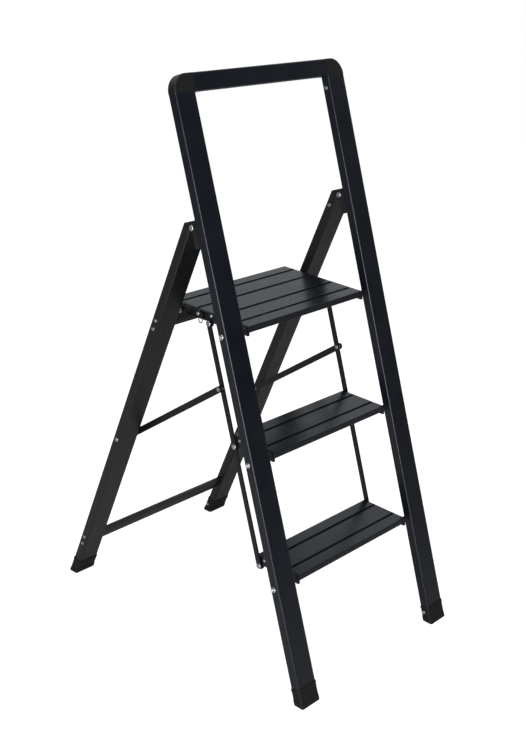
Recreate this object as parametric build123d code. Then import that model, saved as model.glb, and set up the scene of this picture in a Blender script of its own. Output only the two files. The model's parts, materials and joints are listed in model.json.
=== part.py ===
from build123d import *
import math
import os

# Folding step stool of powder-coated aluminium: a tall front frame with a hand rail, two rear legs hinged
# to it, a platform and two steps that fold up flat between the rails, and two link rods that tie them.
# X runs across the stool, Y from front to back and Z up.  The origin is on the floor, in the middle of
# the footprint.  All sizes are in millimetres and all angles in degrees.
#
# Two slanted frames are used.  In each, local X is across, local Y is the distance behind the tube's
# front face ("back"), and local Z is the distance along the tube from the floor line ("up").

# Overall sizes
OVERALL_WIDTH = 476.0
RAIL_LENGTH = 1208.0
LEAN = 20.0
LEG_LEAN = 20.0
STEP_RISE = 230.0
STEP_COUNT = 3
TREAD_WIDTH = 340.0
PLATFORM_DEPTH = 212.6
STEP_DEPTH = 109.0

# Tubes of the front frame and of the legs
TUBE_WIDTH = 50.0
TUBE_DEPTH = 20.0
TUBE_WALL = 1.5
TUBE_CORNER = 3.0
TOP_RAIL_HEIGHT = 34.0
CORNER_RADIUS = 33.0
CORNER_EDGE = 2.0
PLUG_LENGTH = 40.0
PLUG_WALL = 3.0
PLUG_CLEARANCE = 0.15
CORNER_RIVET_DROP = 22.0
CORNER_RIVET_BACK = 11.5
TOP_RIVET_INSET = 14.0
TOP_RIVET_BACK = 10.0

# Main hinge between the front frame and the legs
HINGE_UP = 936.2
HINGE_BACK = 31.0
HINGE_AHEAD = 1.2
PIN_RADIUS = 3.0
PIN_CLEARANCE = 0.05
MOVING_GAP = 0.4
NEAR = 0.01
BRACKET_BELOW = 39.2
BRACKET_ABOVE = 11.8
BRACKET_BASE = 2.5
CHEEK_THICKNESS = 8.0
CHEEK_BOSS_RADIUS = 7.0
CAP_BELOW_HINGE = 16.3
CAP_RIVET_BELOW = 32.3
CAP_RIVET_BACK = 11.6
BRACKET_RIVETS_BELOW = (18.0, 32.0)

# Feet
SHOE_WALL = 1.6
SHOE_CLEARANCE = 0.1
SHOE_COLLAR = 40.0
REAR_SHOE_COLLAR = 35.0
SOLE_THICKNESS = 3.5
FRONT_SHOE_RIVET = (13.0, 27.0)
REAR_SHOE_RIVET = (14.5, 16.6)

# Treads, their pivots on the rails and on the link rods
TREAD_THICKNESS = 13.0
TREAD_SKIN = 2.2
TREAD_WALL = 1.6
NOSING_DEPTH = 14.0
NOSING_ROUND = 1.5
RIB_DEPTH = 10.0
GROOVE_WIDTH = 4.0
GROOVE_DEPTH = 1.6
GROOVE_PAD = 1.0
PORT_RADIUS = 3.6
PORT_DROP = 5.5
PIVOT_BACK = 12.0
PIVOT_DROP = 7.3
FRONT_REACH = 6.1
ROD_REACH = 92.3
ROD_DROP = 13.4
PLATFORM_GROOVES = (31.0, 77.5, 135.7, 183.8)
STEP_GROOVES = (29.5, 79.5)
PLATFORM_SCREWS = (45.0, 96.5, 158.8)
STEP_SCREW_AHEAD = 10.4
STEP_SCREWS = (45.0, FRONT_REACH + ROD_REACH - STEP_SCREW_AHEAD)

# Side plates on the ends of the treads
SIDE_PLATE = 3.0
SIDE_PLATE_TOP = 0.8
SIDE_PLATE_HEIGHT = 18.5
SIDE_PLATE_NOSE = 2.0
SIDE_PLATE_ROUND = 2.0
EAR_RADIUS = 8.0

# Link rods and braces, both flat bar
ROD_WIDTH = 11.0
ROD_THICKNESS = 3.0
ROD_GAP = 1.2
BRACE_WIDTH = 13.0
BRACE_THICKNESS = 3.0
BRACE_INSET = 2.2
BRACE_LEG_UP = 396.0
BRACE_LEG_BACK = 10.0

# Crossbars between the legs
CROSSBAR_HEIGHT = 28.5
CROSSBAR_WEB = 2.5
CROSSBAR_DEPTH = 6.0
CROSSBAR_BACK = 7.3
CROSSBAR_BOSS = 8.6
LOWER_CROSSBAR_UP = 97.2
REST_GAP = 0.5

# Rest pins on the legs, and the safety catch on the left of the platform
REST_PIN_DROP = 12.0
REST_PIN_BACK = 4.5
REST_PIN_RADIUS = 3.5
REST_PIN_FLANGE = 5.0
REST_PIN_FLANGE_THICKNESS = 2.0
REST_PIN_COLLAR = 4.0
NOTCH_TURN = 3.0
CATCH_PIVOT_REACH = 126.9
CATCH_PIVOT_DROP = 8.0
CATCH_THICKNESS = 2.0
CATCH_STANDOFF = 2.5
CATCH_HUB_RADIUS = 7.0
CATCH_ARM_DROP = 1.5
CATCH_ARM_DEPTH = 8.0
CATCH_HOOK_GAP = 1.0
CATCH_TOOTH = 4.5
CATCH_TOOTH_DROP = 4.0
CATCH_TAIL = 12.0
CATCH_TAIL_RISE = 4.0
LOOP_WIRE = 0.95
LOOP_RADIUS = 4.5
LOOP_LEG = 5.5

# Rivets, bolts and screws: shank radius, head radius, head height
HEAD_ROUND = 0.6
HINGE_HEAD = (5.5, 2.2)
BOLT_HEAD = (5.5, 2.2)
BOLT_RADIUS = 2.5
BOLT_TAIL = (3.8, 2.0)
BUSH_RADIUS = 5.0
ROD_RIVET_RADIUS = 2.5
ROD_RIVET_HEAD = (5.6, 2.2)
ROD_RIVET_TAIL = (4.5, 1.8)
ROD_RIVET_LOW_HEAD = (4.0, 1.4)
WASHER_RADIUS = 5.0
SMALL_RIVET_RADIUS = 2.0
SMALL_RIVET_HEAD = (3.8, 1.5)
SMALL_RIVET_REACH = 7.0
BRACKET_RIVET_REACH = 3.5
LEG_RIVET_RADIUS = 2.5
LEG_RIVET_HEAD = (4.6, 2.0)
SCREW_RADIUS = 1.5
SCREW_HEAD = (3.4, 1.8)
SCREW_REACH = 14.0
CROSSBAR_SCREW_RADIUS = 1.7
CROSSBAR_SCREW_HEAD = (3.6, 1.6)
CROSSBAR_SCREW_REACH = 20.0

# Places across the stool, all for the right-hand side
RAIL_OUTER = OVERALL_WIDTH / 2
RAIL_INNER = RAIL_OUTER - TUBE_WIDTH
RAIL_MIDDLE = RAIL_OUTER - TUBE_WIDTH / 2
RAIL_TOP = RAIL_LENGTH - TOP_RAIL_HEIGHT
CORNER_RIVET_UP = RAIL_TOP - CORNER_RIVET_DROP
TREAD_END = TREAD_WIDTH / 2
PLATE_FACE = TREAD_END + SIDE_PLATE
ROD_INNER = PLATE_FACE + ROD_GAP
ROD_OUTER = ROD_INNER + ROD_THICKNESS
BRACE_OUTER = RAIL_INNER - BRACE_INSET
BRACE_INNER = BRACE_OUTER - BRACE_THICKNESS
CATCH_INNER = PLATE_FACE + CATCH_STANDOFF
CATCH_OUTER = CATCH_INNER + CATCH_THICKNESS

# The legs start where their lean carries them from the hinge down to the floor
lean = math.radians(LEAN)
leg_lean = math.radians(LEG_LEAN)
hinge_y = HINGE_UP * math.sin(lean) + HINGE_BACK * math.cos(lean)
hinge_z = HINGE_UP * math.cos(lean) - HINGE_BACK * math.sin(lean)
LEG_SPREAD = hinge_y + (hinge_z * math.sin(leg_lean) + HINGE_AHEAD) / math.cos(leg_lean)
FRONT_TOE = -SHOE_WALL / math.cos(lean)
REAR_HEEL = LEG_SPREAD + (TUBE_DEPTH + SHOE_WALL) / math.cos(leg_lean)
FRONT_Y = -(FRONT_TOE + REAR_HEEL) / 2
FRONT = Location((0, FRONT_Y, 0), (-LEAN, 0, 0))
REAR = Location((0, FRONT_Y + LEG_SPREAD, 0), (LEG_LEAN, 0, 0))

# Fold angles: the legs swing parallel to the rails, and the treads stand up along them
LEG_FOLD = LEAN + LEG_LEAN
TREAD_FOLD = 90.0 - LEAN
FOLD_RATIO = TREAD_FOLD / LEG_FOLD

# Square-cut tube ends stand in the shoes, above the thinnest part of each level sole
FRONT_SEAT = (TUBE_DEPTH + SHOE_WALL) * math.tan(lean) + SOLE_THICKNESS
REAR_SEAT = SHOE_WALL * math.tan(leg_lean) + SOLE_THICKNESS
CHEEK_BACK = HINGE_BACK + HINGE_AHEAD - MOVING_GAP


def place(frame, back, up):
    """The (y, z) of a point given in one of the slanted frames."""
    point = (frame * Pos(0, back, up)).position
    return point.Y, point.Z


def seen_from(frame, y, z):
    """The (back, up) of a point of the side view, in one of the slanted frames."""
    point = (frame.inverse() * Pos(0, y, z)).position
    return point.Y, point.Z


def up_at_height(frame_lean, back, z):
    """How far up a leaning rail a given height is reached, at a given distance behind its face."""
    return (z + back * math.sin(frame_lean)) / math.cos(frame_lean)


def turned(y, z, centre_y, centre_z, degrees):
    """A point of the side view turned about a centre, from +Y towards +Z."""
    angle = math.radians(degrees)
    dy = y - centre_y
    dz = z - centre_z
    return (
        centre_y + dy * math.cos(angle) - dz * math.sin(angle),
        centre_z + dy * math.sin(angle) + dz * math.cos(angle),
    )


# Hinge, tread pivots, rod pivots and rest pins in the side view, as (y, z)
HINGE = place(FRONT, HINGE_BACK, HINGE_UP)
HINGE_LEG_UP = seen_from(REAR, *HINGE)[1]
LEG_TUBE_TOP = HINGE_LEG_UP - CAP_BELOW_HINGE
CAP_RIVET = (CAP_RIVET_BACK, HINGE_LEG_UP - CAP_RIVET_BELOW)
TREAD_TOPS = [STEP_RISE * (number + 1) for number in range(STEP_COUNT)]
PLATFORM_TOP = TREAD_TOPS[-1]
TREAD_PIVOTS = [
    place(FRONT, PIVOT_BACK, up_at_height(lean, PIVOT_BACK, top - PIVOT_DROP)) for top in TREAD_TOPS
]
ROD_PIVOTS = [(y + ROD_REACH, z - ROD_DROP) for y, z in TREAD_PIVOTS]
ROD_BACK = seen_from(FRONT, *ROD_PIVOTS[0])[0]
CROSSBAR_TOP = PLATFORM_TOP - SIDE_PLATE_HEIGHT - REST_GAP
UPPER_CROSSBAR_UP = (
    up_at_height(-leg_lean, CROSSBAR_BACK + CROSSBAR_DEPTH, CROSSBAR_TOP) - CROSSBAR_HEIGHT / 2
)
REST_PIN_UP = up_at_height(-leg_lean, REST_PIN_BACK, PLATFORM_TOP - REST_PIN_DROP)
REST_PIN = place(REAR, REST_PIN_BACK, REST_PIN_UP)
CROSSBAR_SCREW_BACK = CROSSBAR_BACK + CROSSBAR_DEPTH / 2
CATCH_PIVOT = (TREAD_PIVOTS[-1][0] - FRONT_REACH + CATCH_PIVOT_REACH, PLATFORM_TOP - CATCH_PIVOT_DROP)


def crossbar_screw_ups(middle_up):
    """Heights of a crossbar's two screw channels along the leg."""
    offset = (CROSSBAR_HEIGHT - CROSSBAR_BOSS) / 2
    return middle_up - offset, middle_up + offset


def brace_ends():
    """Where each brace meets its leg and its rod.  It has to be as long folded as it is open."""
    leg_open = place(REAR, BRACE_LEG_BACK, BRACE_LEG_UP)
    leg_folded = turned(*leg_open, *HINGE, -LEG_FOLD)
    rod_folded = turned(*ROD_PIVOTS[0], *TREAD_PIVOTS[0], TREAD_FOLD)
    back_open, up_open = seen_from(FRONT, *leg_open)
    back_folded, up_folded = seen_from(FRONT, *leg_folded)
    rod_back_folded, rod_up_folded = seen_from(FRONT, *rod_folded)
    rise = rod_up_folded - seen_from(FRONT, *ROD_PIVOTS[0])[1]
    reach_open = ROD_BACK - back_open
    reach_folded = rod_back_folded - back_folded
    target = up_folded - rise
    rod_up = (target**2 - up_open**2 + reach_folded**2 - reach_open**2) / (2 * (target - up_open))
    return leg_open, place(FRONT, ROD_BACK, rod_up)


CROSSBAR_SCREW_UPS = [*crossbar_screw_ups(LOWER_CROSSBAR_UP), *crossbar_screw_ups(UPPER_CROSSBAR_UP)]
BRACE_LEG, BRACE_ROD = brace_ends()


def block(x0, x1, y0, y1, z0, z1):
    """A block between two opposite corners."""
    return Pos((x0 + x1) / 2, (y0 + y1) / 2, (z0 + z1) / 2) * Box(x1 - x0, y1 - y0, z1 - z0)


def peg(x0, x1, y, z, radius):
    """A round peg along X."""
    return Location(((x0 + x1) / 2, y, z), (0, 90, 0)) * Cylinder(radius, x1 - x0)


def from_side(outline, x0, x1):
    """A side-view outline, drawn in (y, z), made solid from x0 to x1."""
    return extrude(Plane((x0, 0, 0), x_dir=(0, 1, 0), z_dir=(1, 0, 0)) * outline, x1 - x0)


def patch(y0, y1, z0, z1):
    """A rectangle of a side-view outline."""
    return Pos((y0 + y1) / 2, (z0 + z1) / 2) * Rectangle(y1 - y0, z1 - z0)


def headed(shank_radius, length, head):
    """A fastener along Z: its domed head stands below the origin and its shank runs up from it."""
    radius, height = head
    button = Pos(0, 0, -height / 2) * Cylinder(radius, height)
    button = fillet(button.edges().sort_by(Axis.Z)[0], height * HEAD_ROUND)
    return button + Pos(0, 0, length / 2) * Cylinder(shank_radius, length)


def fastener(x_face, x_end, y, z, shank_radius, head):
    """A fastener along X whose head stands on x_face and whose shank runs to x_end."""
    turn = 90 if x_end > x_face else -90
    return Location((x_face, y, z), (0, turn, 0)) * headed(shank_radius, abs(x_end - x_face), head)


def mirrored(shape):
    """The left-hand twin of a right-hand piece."""
    return mirror(shape, about=Plane.YZ)


def group(shapes):
    """Separate solids of identical fasteners, kept as one set."""
    return Compound([solid for shape in shapes for solid in shape.solids()])


def on_both_sides(shapes):
    """A set of right-hand pieces with their left-hand twins."""
    return group(list(shapes) + [mirrored(shape) for shape in shapes])


def tube_section(grow):
    """The tubes' outer section, grown or shrunk all round."""
    return RectangleRounded(TUBE_WIDTH + 2 * grow, TUBE_DEPTH + 2 * grow, max(TUBE_CORNER + grow, 0.5))


def upright(section, up0, up1):
    """A section drawn about the right-hand tube's middle, run up that tube."""
    return Pos(RAIL_MIDDLE, TUBE_DEPTH / 2, up0) * extrude(section, up1 - up0)


def rivet_hole(face, back, up):
    """Hole for a small rivet through the tube wall at the given face."""
    reach = SMALL_RIVET_REACH
    return peg(face - reach, face + reach, back, up, SMALL_RIVET_RADIUS + PIN_CLEARANCE)


def small_rivet(face, back, up):
    """Small rivet in the right-hand tube, its head on the tube's inner or outer face."""
    inwards = 1 if face < RAIL_MIDDLE else -1
    end = face + inwards * SMALL_RIVET_REACH
    return fastener(face, end, back, up, SMALL_RIVET_RADIUS, SMALL_RIVET_HEAD)


# ---------------------------------------------------------------- front frame


def front_rail():
    """Right-hand rail: one straight tube, drilled for the tread pivots and for the rivets."""
    rail = upright(tube_section(0) - tube_section(-TUBE_WALL), FRONT_SEAT, RAIL_TOP)
    for pivot in TREAD_PIVOTS:
        back, up = seen_from(FRONT, *pivot)
        rail -= peg(RAIL_INNER - 1, RAIL_OUTER + 1, back, up, BOLT_RADIUS + PIN_CLEARANCE)
    rail -= rivet_hole(RAIL_INNER, CORNER_RIVET_BACK, CORNER_RIVET_UP)
    rail -= rivet_hole(RAIL_INNER, *FRONT_SHOE_RIVET)
    for below in BRACKET_RIVETS_BELOW:
        rail -= bracket_rivet_path(below)
    return FRONT * rail


def top_rivet_hole():
    """The upright hole for the rivet under the right-hand end of the top rail."""
    hole = Cylinder(SMALL_RIVET_RADIUS + PIN_CLEARANCE, 2 * SMALL_RIVET_REACH)
    return Pos(RAIL_INNER - TOP_RIVET_INSET, TOP_RIVET_BACK, RAIL_TOP) * hole


def top_rail():
    """Hand rail across the top, as deep as the rails but lower in section, drilled from below."""
    outer = RectangleRounded(TUBE_DEPTH, TOP_RAIL_HEIGHT, TUBE_CORNER)
    inner_depth = TUBE_DEPTH - 2 * TUBE_WALL
    inner_height = TOP_RAIL_HEIGHT - 2 * TUBE_WALL
    inner = RectangleRounded(inner_depth, inner_height, TUBE_CORNER - TUBE_WALL)
    section = Pos(TUBE_DEPTH / 2, RAIL_TOP + TOP_RAIL_HEIGHT / 2) * (outer - inner)
    rail = from_side(section, -RAIL_INNER, RAIL_INNER)
    return FRONT * (rail - top_rivet_hole() - mirrored(top_rivet_hole()))


def corner_block():
    """The visible part of a corner, flush with both tubes and rounded on the outside."""
    body = block(RAIL_INNER, RAIL_OUTER, 0, TUBE_DEPTH, RAIL_TOP, RAIL_LENGTH)
    long_edges = body.edges().filter_by(Axis.Y)
    outer_corner = long_edges.sort_by(lambda edge: edge.center().X + edge.center().Z)[-1]
    body = fillet(outer_corner, CORNER_RADIUS)
    rim = []
    for edge in body.edges():
        middle = edge.center()
        on_face = min(abs(middle.Y), abs(middle.Y - TUBE_DEPTH)) < NEAR
        if on_face and middle.X > RAIL_INNER + NEAR and middle.Z > RAIL_TOP + NEAR:
            rim.append(edge)
    return fillet(rim, CORNER_EDGE)


def corner_connector():
    """Moulded corner piece: a rounded block with a hollow plug into each of the two tubes."""
    gap = TUBE_WALL + PLUG_CLEARANCE
    hollow_plug = tube_section(-gap) - tube_section(-gap - PLUG_WALL)
    down = upright(hollow_plug, RAIL_TOP - PLUG_LENGTH, RAIL_TOP)
    depth = TUBE_DEPTH - 2 * gap
    height = TOP_RAIL_HEIGHT - 2 * gap
    sleeve = RectangleRounded(depth, height, TUBE_CORNER - TUBE_WALL)
    sleeve -= Rectangle(depth - 2 * PLUG_WALL, height - 2 * PLUG_WALL)
    middle = Pos(TUBE_DEPTH / 2, RAIL_TOP + TOP_RAIL_HEIGHT / 2)
    across = from_side(middle * sleeve, RAIL_INNER - PLUG_LENGTH, RAIL_INNER)
    plugs = down + across - rivet_hole(RAIL_INNER, CORNER_RIVET_BACK, CORNER_RIVET_UP)
    return FRONT * (corner_block() + plugs - top_rivet_hole())


def corner_rivets():
    """Each corner is riveted into its rail from the inner side and into the top rail from below."""
    in_rail = small_rivet(RAIL_INNER, CORNER_RIVET_BACK, CORNER_RIVET_UP)
    seat = Pos(RAIL_INNER - TOP_RIVET_INSET, TOP_RIVET_BACK, RAIL_TOP)
    in_top_rail = seat * headed(SMALL_RIVET_RADIUS, SMALL_RIVET_REACH, SMALL_RIVET_HEAD)
    return on_both_sides([FRONT * in_rail, FRONT * in_top_rail])


def bracket_rivet_path(below):
    """The hole along local Y for a rivet through the bracket's base and the rail's back wall."""
    length = BRACKET_BASE + BRACKET_RIVET_REACH
    middle = TUBE_DEPTH + BRACKET_BASE - length / 2
    hole = Cylinder(SMALL_RIVET_RADIUS + PIN_CLEARANCE, length)
    return Location((RAIL_MIDDLE, middle, HINGE_UP - below), (90, 0, 0)) * hole


def hinge_bracket():
    """Moulded bracket on the back of the rail: a base plate and two cheeks flush with the rail's sides."""
    bottom = HINGE_UP - BRACKET_BELOW
    top = HINGE_UP + BRACKET_ABOVE
    base_back = TUBE_DEPTH + BRACKET_BASE
    cheek = patch(TUBE_DEPTH, CHEEK_BACK, bottom, top)
    cheek += Pos(HINGE_BACK, HINGE_UP) * Circle(CHEEK_BOSS_RADIUS)
    bracket = from_side(patch(TUBE_DEPTH, base_back, bottom, top), RAIL_INNER, RAIL_OUTER)
    bracket += from_side(cheek, RAIL_INNER, RAIL_INNER + CHEEK_THICKNESS)
    bracket += from_side(cheek, RAIL_OUTER - CHEEK_THICKNESS, RAIL_OUTER)
    bracket -= peg(RAIL_INNER - 1, RAIL_OUTER + 1, HINGE_BACK, HINGE_UP, PIN_RADIUS + PIN_CLEARANCE)
    for below in BRACKET_RIVETS_BELOW:
        bracket -= bracket_rivet_path(below)
    return FRONT * bracket


def hinge_bracket_rivets():
    """Two rivets hold each bracket, one above the other between its cheeks."""
    rivets = []
    for below in BRACKET_RIVETS_BELOW:
        seat = Location((RAIL_MIDDLE, TUBE_DEPTH + BRACKET_BASE, HINGE_UP - below), (90, 0, 0))
        rivet = headed(SMALL_RIVET_RADIUS, BRACKET_BASE + BRACKET_RIVET_REACH, SMALL_RIVET_HEAD)
        rivets.append(FRONT * seat * rivet)
    return on_both_sides(rivets)


def hinge_pins():
    """Each hinge turns on one riveted pin with a domed head at both ends."""
    outer = fastener(RAIL_OUTER, RAIL_MIDDLE, *HINGE, PIN_RADIUS, HINGE_HEAD)
    inner = fastener(RAIL_INNER, RAIL_MIDDLE, *HINGE, PIN_RADIUS, HINGE_HEAD)
    return on_both_sides([outer + inner])


def tread_pivot_bolts():
    """Bolts from the rails' outer faces into the treads, with a flat tail behind each side plate."""
    bolts = []
    for pivot in TREAD_PIVOTS:
        radius, height = BOLT_TAIL
        tail_face = TREAD_END - MOVING_GAP
        bolt = fastener(RAIL_OUTER, tail_face, *pivot, BOLT_RADIUS, BOLT_HEAD)
        bolts.append(bolt + peg(tail_face - height, tail_face, *pivot, radius))
    return on_both_sides(bolts)


def tread_pivot_bushes():
    """Spacer tubes on the pivot bolts, between the rails and the treads' side plates."""
    bushes = []
    for pivot in TREAD_PIVOTS:
        bush = peg(PLATE_FACE + MOVING_GAP, RAIL_INNER, *pivot, BUSH_RADIUS)
        bushes.append(bush - peg(PLATE_FACE, RAIL_INNER, *pivot, BOLT_RADIUS + PIN_CLEARANCE))
    return on_both_sides(bushes)


# ---------------------------------------------------------------- feet


def shoe(frame, seat, collar, rivet):
    """Moulded foot: a sleeve round the tube's end, with a level sole under the slanted tube."""
    body = upright(tube_section(SHOE_WALL), -TUBE_WIDTH, collar)
    body -= upright(tube_section(SHOE_CLEARANCE), seat, collar + 1)
    body -= rivet_hole(RAIL_INNER, *rivet) - upright(tube_section(0), -TUBE_WIDTH, collar)
    underground = block(0, OVERALL_WIDTH, -OVERALL_WIDTH * 2, OVERALL_WIDTH * 2, -TUBE_WIDTH * 2, 0)
    return frame * body - underground


def front_foot():
    """Right-hand shoe of the front frame."""
    return shoe(FRONT, FRONT_SEAT, SHOE_COLLAR, FRONT_SHOE_RIVET)


def rear_foot():
    """Right-hand shoe of the rear frame, with a lower collar."""
    return shoe(REAR, REAR_SEAT, REAR_SHOE_COLLAR, REAR_SHOE_RIVET)


def front_foot_rivets():
    """One rivet a side, through the shoe and the rail's inner face."""
    return on_both_sides([FRONT * small_rivet(RAIL_INNER - SHOE_WALL, *FRONT_SHOE_RIVET)])


def rear_foot_rivets():
    """One rivet a side, through the shoe and the leg's inner face."""
    return on_both_sides([REAR * small_rivet(RAIL_INNER - SHOE_WALL, *REAR_SHOE_RIVET)])


# ---------------------------------------------------------------- legs


def rear_leg():
    """Right-hand leg: a tube, drilled for the crossbar screws, the brace and rest pins and the rivets."""
    leg = upright(tube_section(0) - tube_section(-TUBE_WALL), REAR_SEAT, LEG_TUBE_TOP)
    x0 = RAIL_INNER - 1
    x1 = RAIL_OUTER + 1
    for up in CROSSBAR_SCREW_UPS:
        leg -= peg(x0, x1, CROSSBAR_SCREW_BACK, up, CROSSBAR_SCREW_RADIUS + PIN_CLEARANCE)
    leg -= peg(x0, x1, BRACE_LEG_BACK, BRACE_LEG_UP, LEG_RIVET_RADIUS + PIN_CLEARANCE)
    leg -= peg(x0, RAIL_MIDDLE, REST_PIN_BACK, REST_PIN_UP, REST_PIN_RADIUS + PIN_CLEARANCE)
    leg -= rivet_hole(RAIL_INNER, *CAP_RIVET)
    leg -= rivet_hole(RAIL_INNER, *REAR_SHOE_RIVET)
    return REAR * leg


def leg_hinge_cap():
    """Moulded end of the leg: a plug in the tube, shoulders cut to clear the cheeks, and a hinge tongue."""
    stock = REAR * upright(tube_section(0), LEG_TUBE_TOP, LEG_TUBE_TOP + TUBE_WIDTH)
    reach = TUBE_WIDTH * 2
    top = HINGE_UP + BRACKET_ABOVE
    clear_of_cheeks = FRONT * block(0, OVERALL_WIDTH, CHEEK_BACK + MOVING_GAP, reach, 0, top)
    clear_of_base = FRONT * block(
        RAIL_INNER + CHEEK_THICKNESS + MOVING_GAP,
        RAIL_OUTER - CHEEK_THICKNESS - MOVING_GAP,
        TUBE_DEPTH + BRACKET_BASE + MOVING_GAP,
        reach,
        0,
        top,
    )
    shoulders = (stock & clear_of_cheeks) - peg(0, OVERALL_WIDTH, *HINGE, CHEEK_BOSS_RADIUS + MOVING_GAP)
    tongue_radius = HINGE_BACK - TUBE_DEPTH - BRACKET_BASE - MOVING_GAP
    tongue_x0 = RAIL_INNER + CHEEK_THICKNESS + MOVING_GAP
    tongue_x1 = RAIL_OUTER - CHEEK_THICKNESS - MOVING_GAP
    tongue = (stock & clear_of_base) + peg(tongue_x0, tongue_x1, *HINGE, tongue_radius)
    gap = TUBE_WALL + PLUG_CLEARANCE
    plug = REAR * upright(tube_section(-gap), LEG_TUBE_TOP - PLUG_LENGTH, LEG_TUBE_TOP)
    cap = shoulders + tongue + plug - peg(0, OVERALL_WIDTH, *HINGE, PIN_RADIUS + PIN_CLEARANCE)
    return cap - REAR * rivet_hole(RAIL_INNER, *CAP_RIVET)


def leg_cap_rivets():
    """Each cap is riveted to its leg from the inner side."""
    return on_both_sides([REAR * small_rivet(RAIL_INNER, *CAP_RIVET)])


def crossbar(middle_up):
    """Extruded bar between the legs: a flat front with a screw channel along each edge."""
    bottom = middle_up - CROSSBAR_HEIGHT / 2
    top = middle_up + CROSSBAR_HEIGHT / 2
    back = CROSSBAR_BACK + CROSSBAR_DEPTH
    section = patch(CROSSBAR_BACK, CROSSBAR_BACK + CROSSBAR_WEB, bottom, top)
    section += patch(CROSSBAR_BACK, back, bottom, bottom + CROSSBAR_BOSS)
    section += patch(CROSSBAR_BACK, back, top - CROSSBAR_BOSS, top)
    for up in crossbar_screw_ups(middle_up):
        section -= Pos(CROSSBAR_SCREW_BACK, up) * Circle(CROSSBAR_SCREW_RADIUS + PIN_CLEARANCE)
    return REAR * from_side(section, -RAIL_INNER, RAIL_INNER)


def crossbar_screws():
    """Long screws from the legs' outer faces into both channels of both crossbars."""
    end = RAIL_INNER - CROSSBAR_SCREW_REACH
    radius = CROSSBAR_SCREW_RADIUS
    screws = []
    for up in CROSSBAR_SCREW_UPS:
        screw = fastener(RAIL_OUTER, end, CROSSBAR_SCREW_BACK, up, radius, CROSSBAR_SCREW_HEAD)
        screws.append(REAR * screw)
    return on_both_sides(screws)


def rest_pins():
    """Studs on the legs' inner faces that the platform rests on, with a collar and a flange."""
    tail = peg(PLATE_FACE - SIDE_PLATE - 1, RAIL_INNER + TUBE_WALL + 1, *REST_PIN, REST_PIN_RADIUS)
    collar = peg(RAIL_INNER - REST_PIN_COLLAR, RAIL_INNER, *REST_PIN, REST_PIN_FLANGE)
    flange_face = CATCH_OUTER + MOVING_GAP
    flange = peg(flange_face, flange_face + REST_PIN_FLANGE_THICKNESS, *REST_PIN, REST_PIN_FLANGE)
    return on_both_sides([tail + collar + flange])


def brace_leg_rivets():
    """Rivets through the legs, each with a low inner head that stays clear of the brace's end."""
    outer = fastener(RAIL_OUTER, RAIL_INNER, *BRACE_LEG, LEG_RIVET_RADIUS, LEG_RIVET_HEAD)
    radius = LEG_RIVET_HEAD[0]
    inner = peg(BRACE_OUTER + MOVING_GAP, RAIL_INNER, *BRACE_LEG, radius)
    return on_both_sides([outer + inner])


# ---------------------------------------------------------------- treads


def tread_origin(number):
    """The top front edge of a tread in the side view."""
    return TREAD_PIVOTS[number][0] - FRONT_REACH, TREAD_TOPS[number]


def plank(number, depth, grooves, ports):
    """Extruded plank: a skin thickened under its grooves, boxed long edges, ribs and screw channels."""
    y, z = tread_origin(number)
    section = patch(0, depth, -TREAD_SKIN, 0)
    for edge in (0, depth - NOSING_DEPTH):
        section += patch(edge, edge + NOSING_DEPTH, -TREAD_THICKNESS, 0)
    corners = section.vertices().filter_by(lambda corner: corner.X in (0, depth))
    section = fillet(corners, NOSING_ROUND)
    for edge in (0, depth - NOSING_DEPTH):
        inside = patch(
            edge + TREAD_WALL, edge + NOSING_DEPTH - TREAD_WALL, TREAD_WALL - TREAD_THICKNESS, -TREAD_SKIN
        )
        section -= inside
    for groove in grooves:
        half = GROOVE_WIDTH / 2
        section += patch(groove - TREAD_WALL / 2, groove + TREAD_WALL / 2, -RIB_DEPTH, 0)
        section += patch(groove - half - GROOVE_PAD, groove + half + GROOVE_PAD, -TREAD_SKIN - GROOVE_PAD, 0)
        section -= patch(groove - half, groove + half, -GROOVE_DEPTH, 1)
    for port in ports:
        section += Pos(port, -PORT_DROP) * Circle(PORT_RADIUS)
        section -= Pos(port, -PORT_DROP) * Circle(SCREW_RADIUS + PIN_CLEARANCE)
    return from_side(Pos(y, z) * section, -TREAD_END, TREAD_END)


def side_plate_outline(number, depth):
    """Side view of an end plate: a strip under the plank's edge with an ear round the rod's pivot."""
    y, z = tread_origin(number)
    bottom = -SIDE_PLATE_HEIGHT
    strip = Polyline(
        (0, -SIDE_PLATE_TOP),
        (depth, -SIDE_PLATE_TOP),
        (depth, bottom),
        (-SIDE_PLATE_NOSE, bottom),
        (-SIDE_PLATE_NOSE, bottom + EAR_RADIUS / 2),
        close=True,
    )
    outline = make_face(strip)
    outline = fillet(outline.vertices().filter_by(lambda corner: corner.Y == bottom), SIDE_PLATE_ROUND)
    return Pos(y, z) * outline + Pos(*ROD_PIVOTS[number]) * Circle(EAR_RADIUS)


def side_plate(number, outline, ports):
    """Right-hand end plate, bored for the tread's pivot, the rod's pivot and the screws."""
    y, z = tread_origin(number)
    plate = from_side(outline, TREAD_END, PLATE_FACE)
    plate -= peg(TREAD_END - 1, PLATE_FACE + 1, *TREAD_PIVOTS[number], BOLT_RADIUS + PIN_CLEARANCE)
    plate -= peg(TREAD_END - 1, PLATE_FACE + 1, *ROD_PIVOTS[number], ROD_RIVET_RADIUS + PIN_CLEARANCE)
    for port in ports:
        plate -= peg(TREAD_END - 1, PLATE_FACE + 1, y + port, z - PORT_DROP, SCREW_RADIUS + PIN_CLEARANCE)
    return plate


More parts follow.
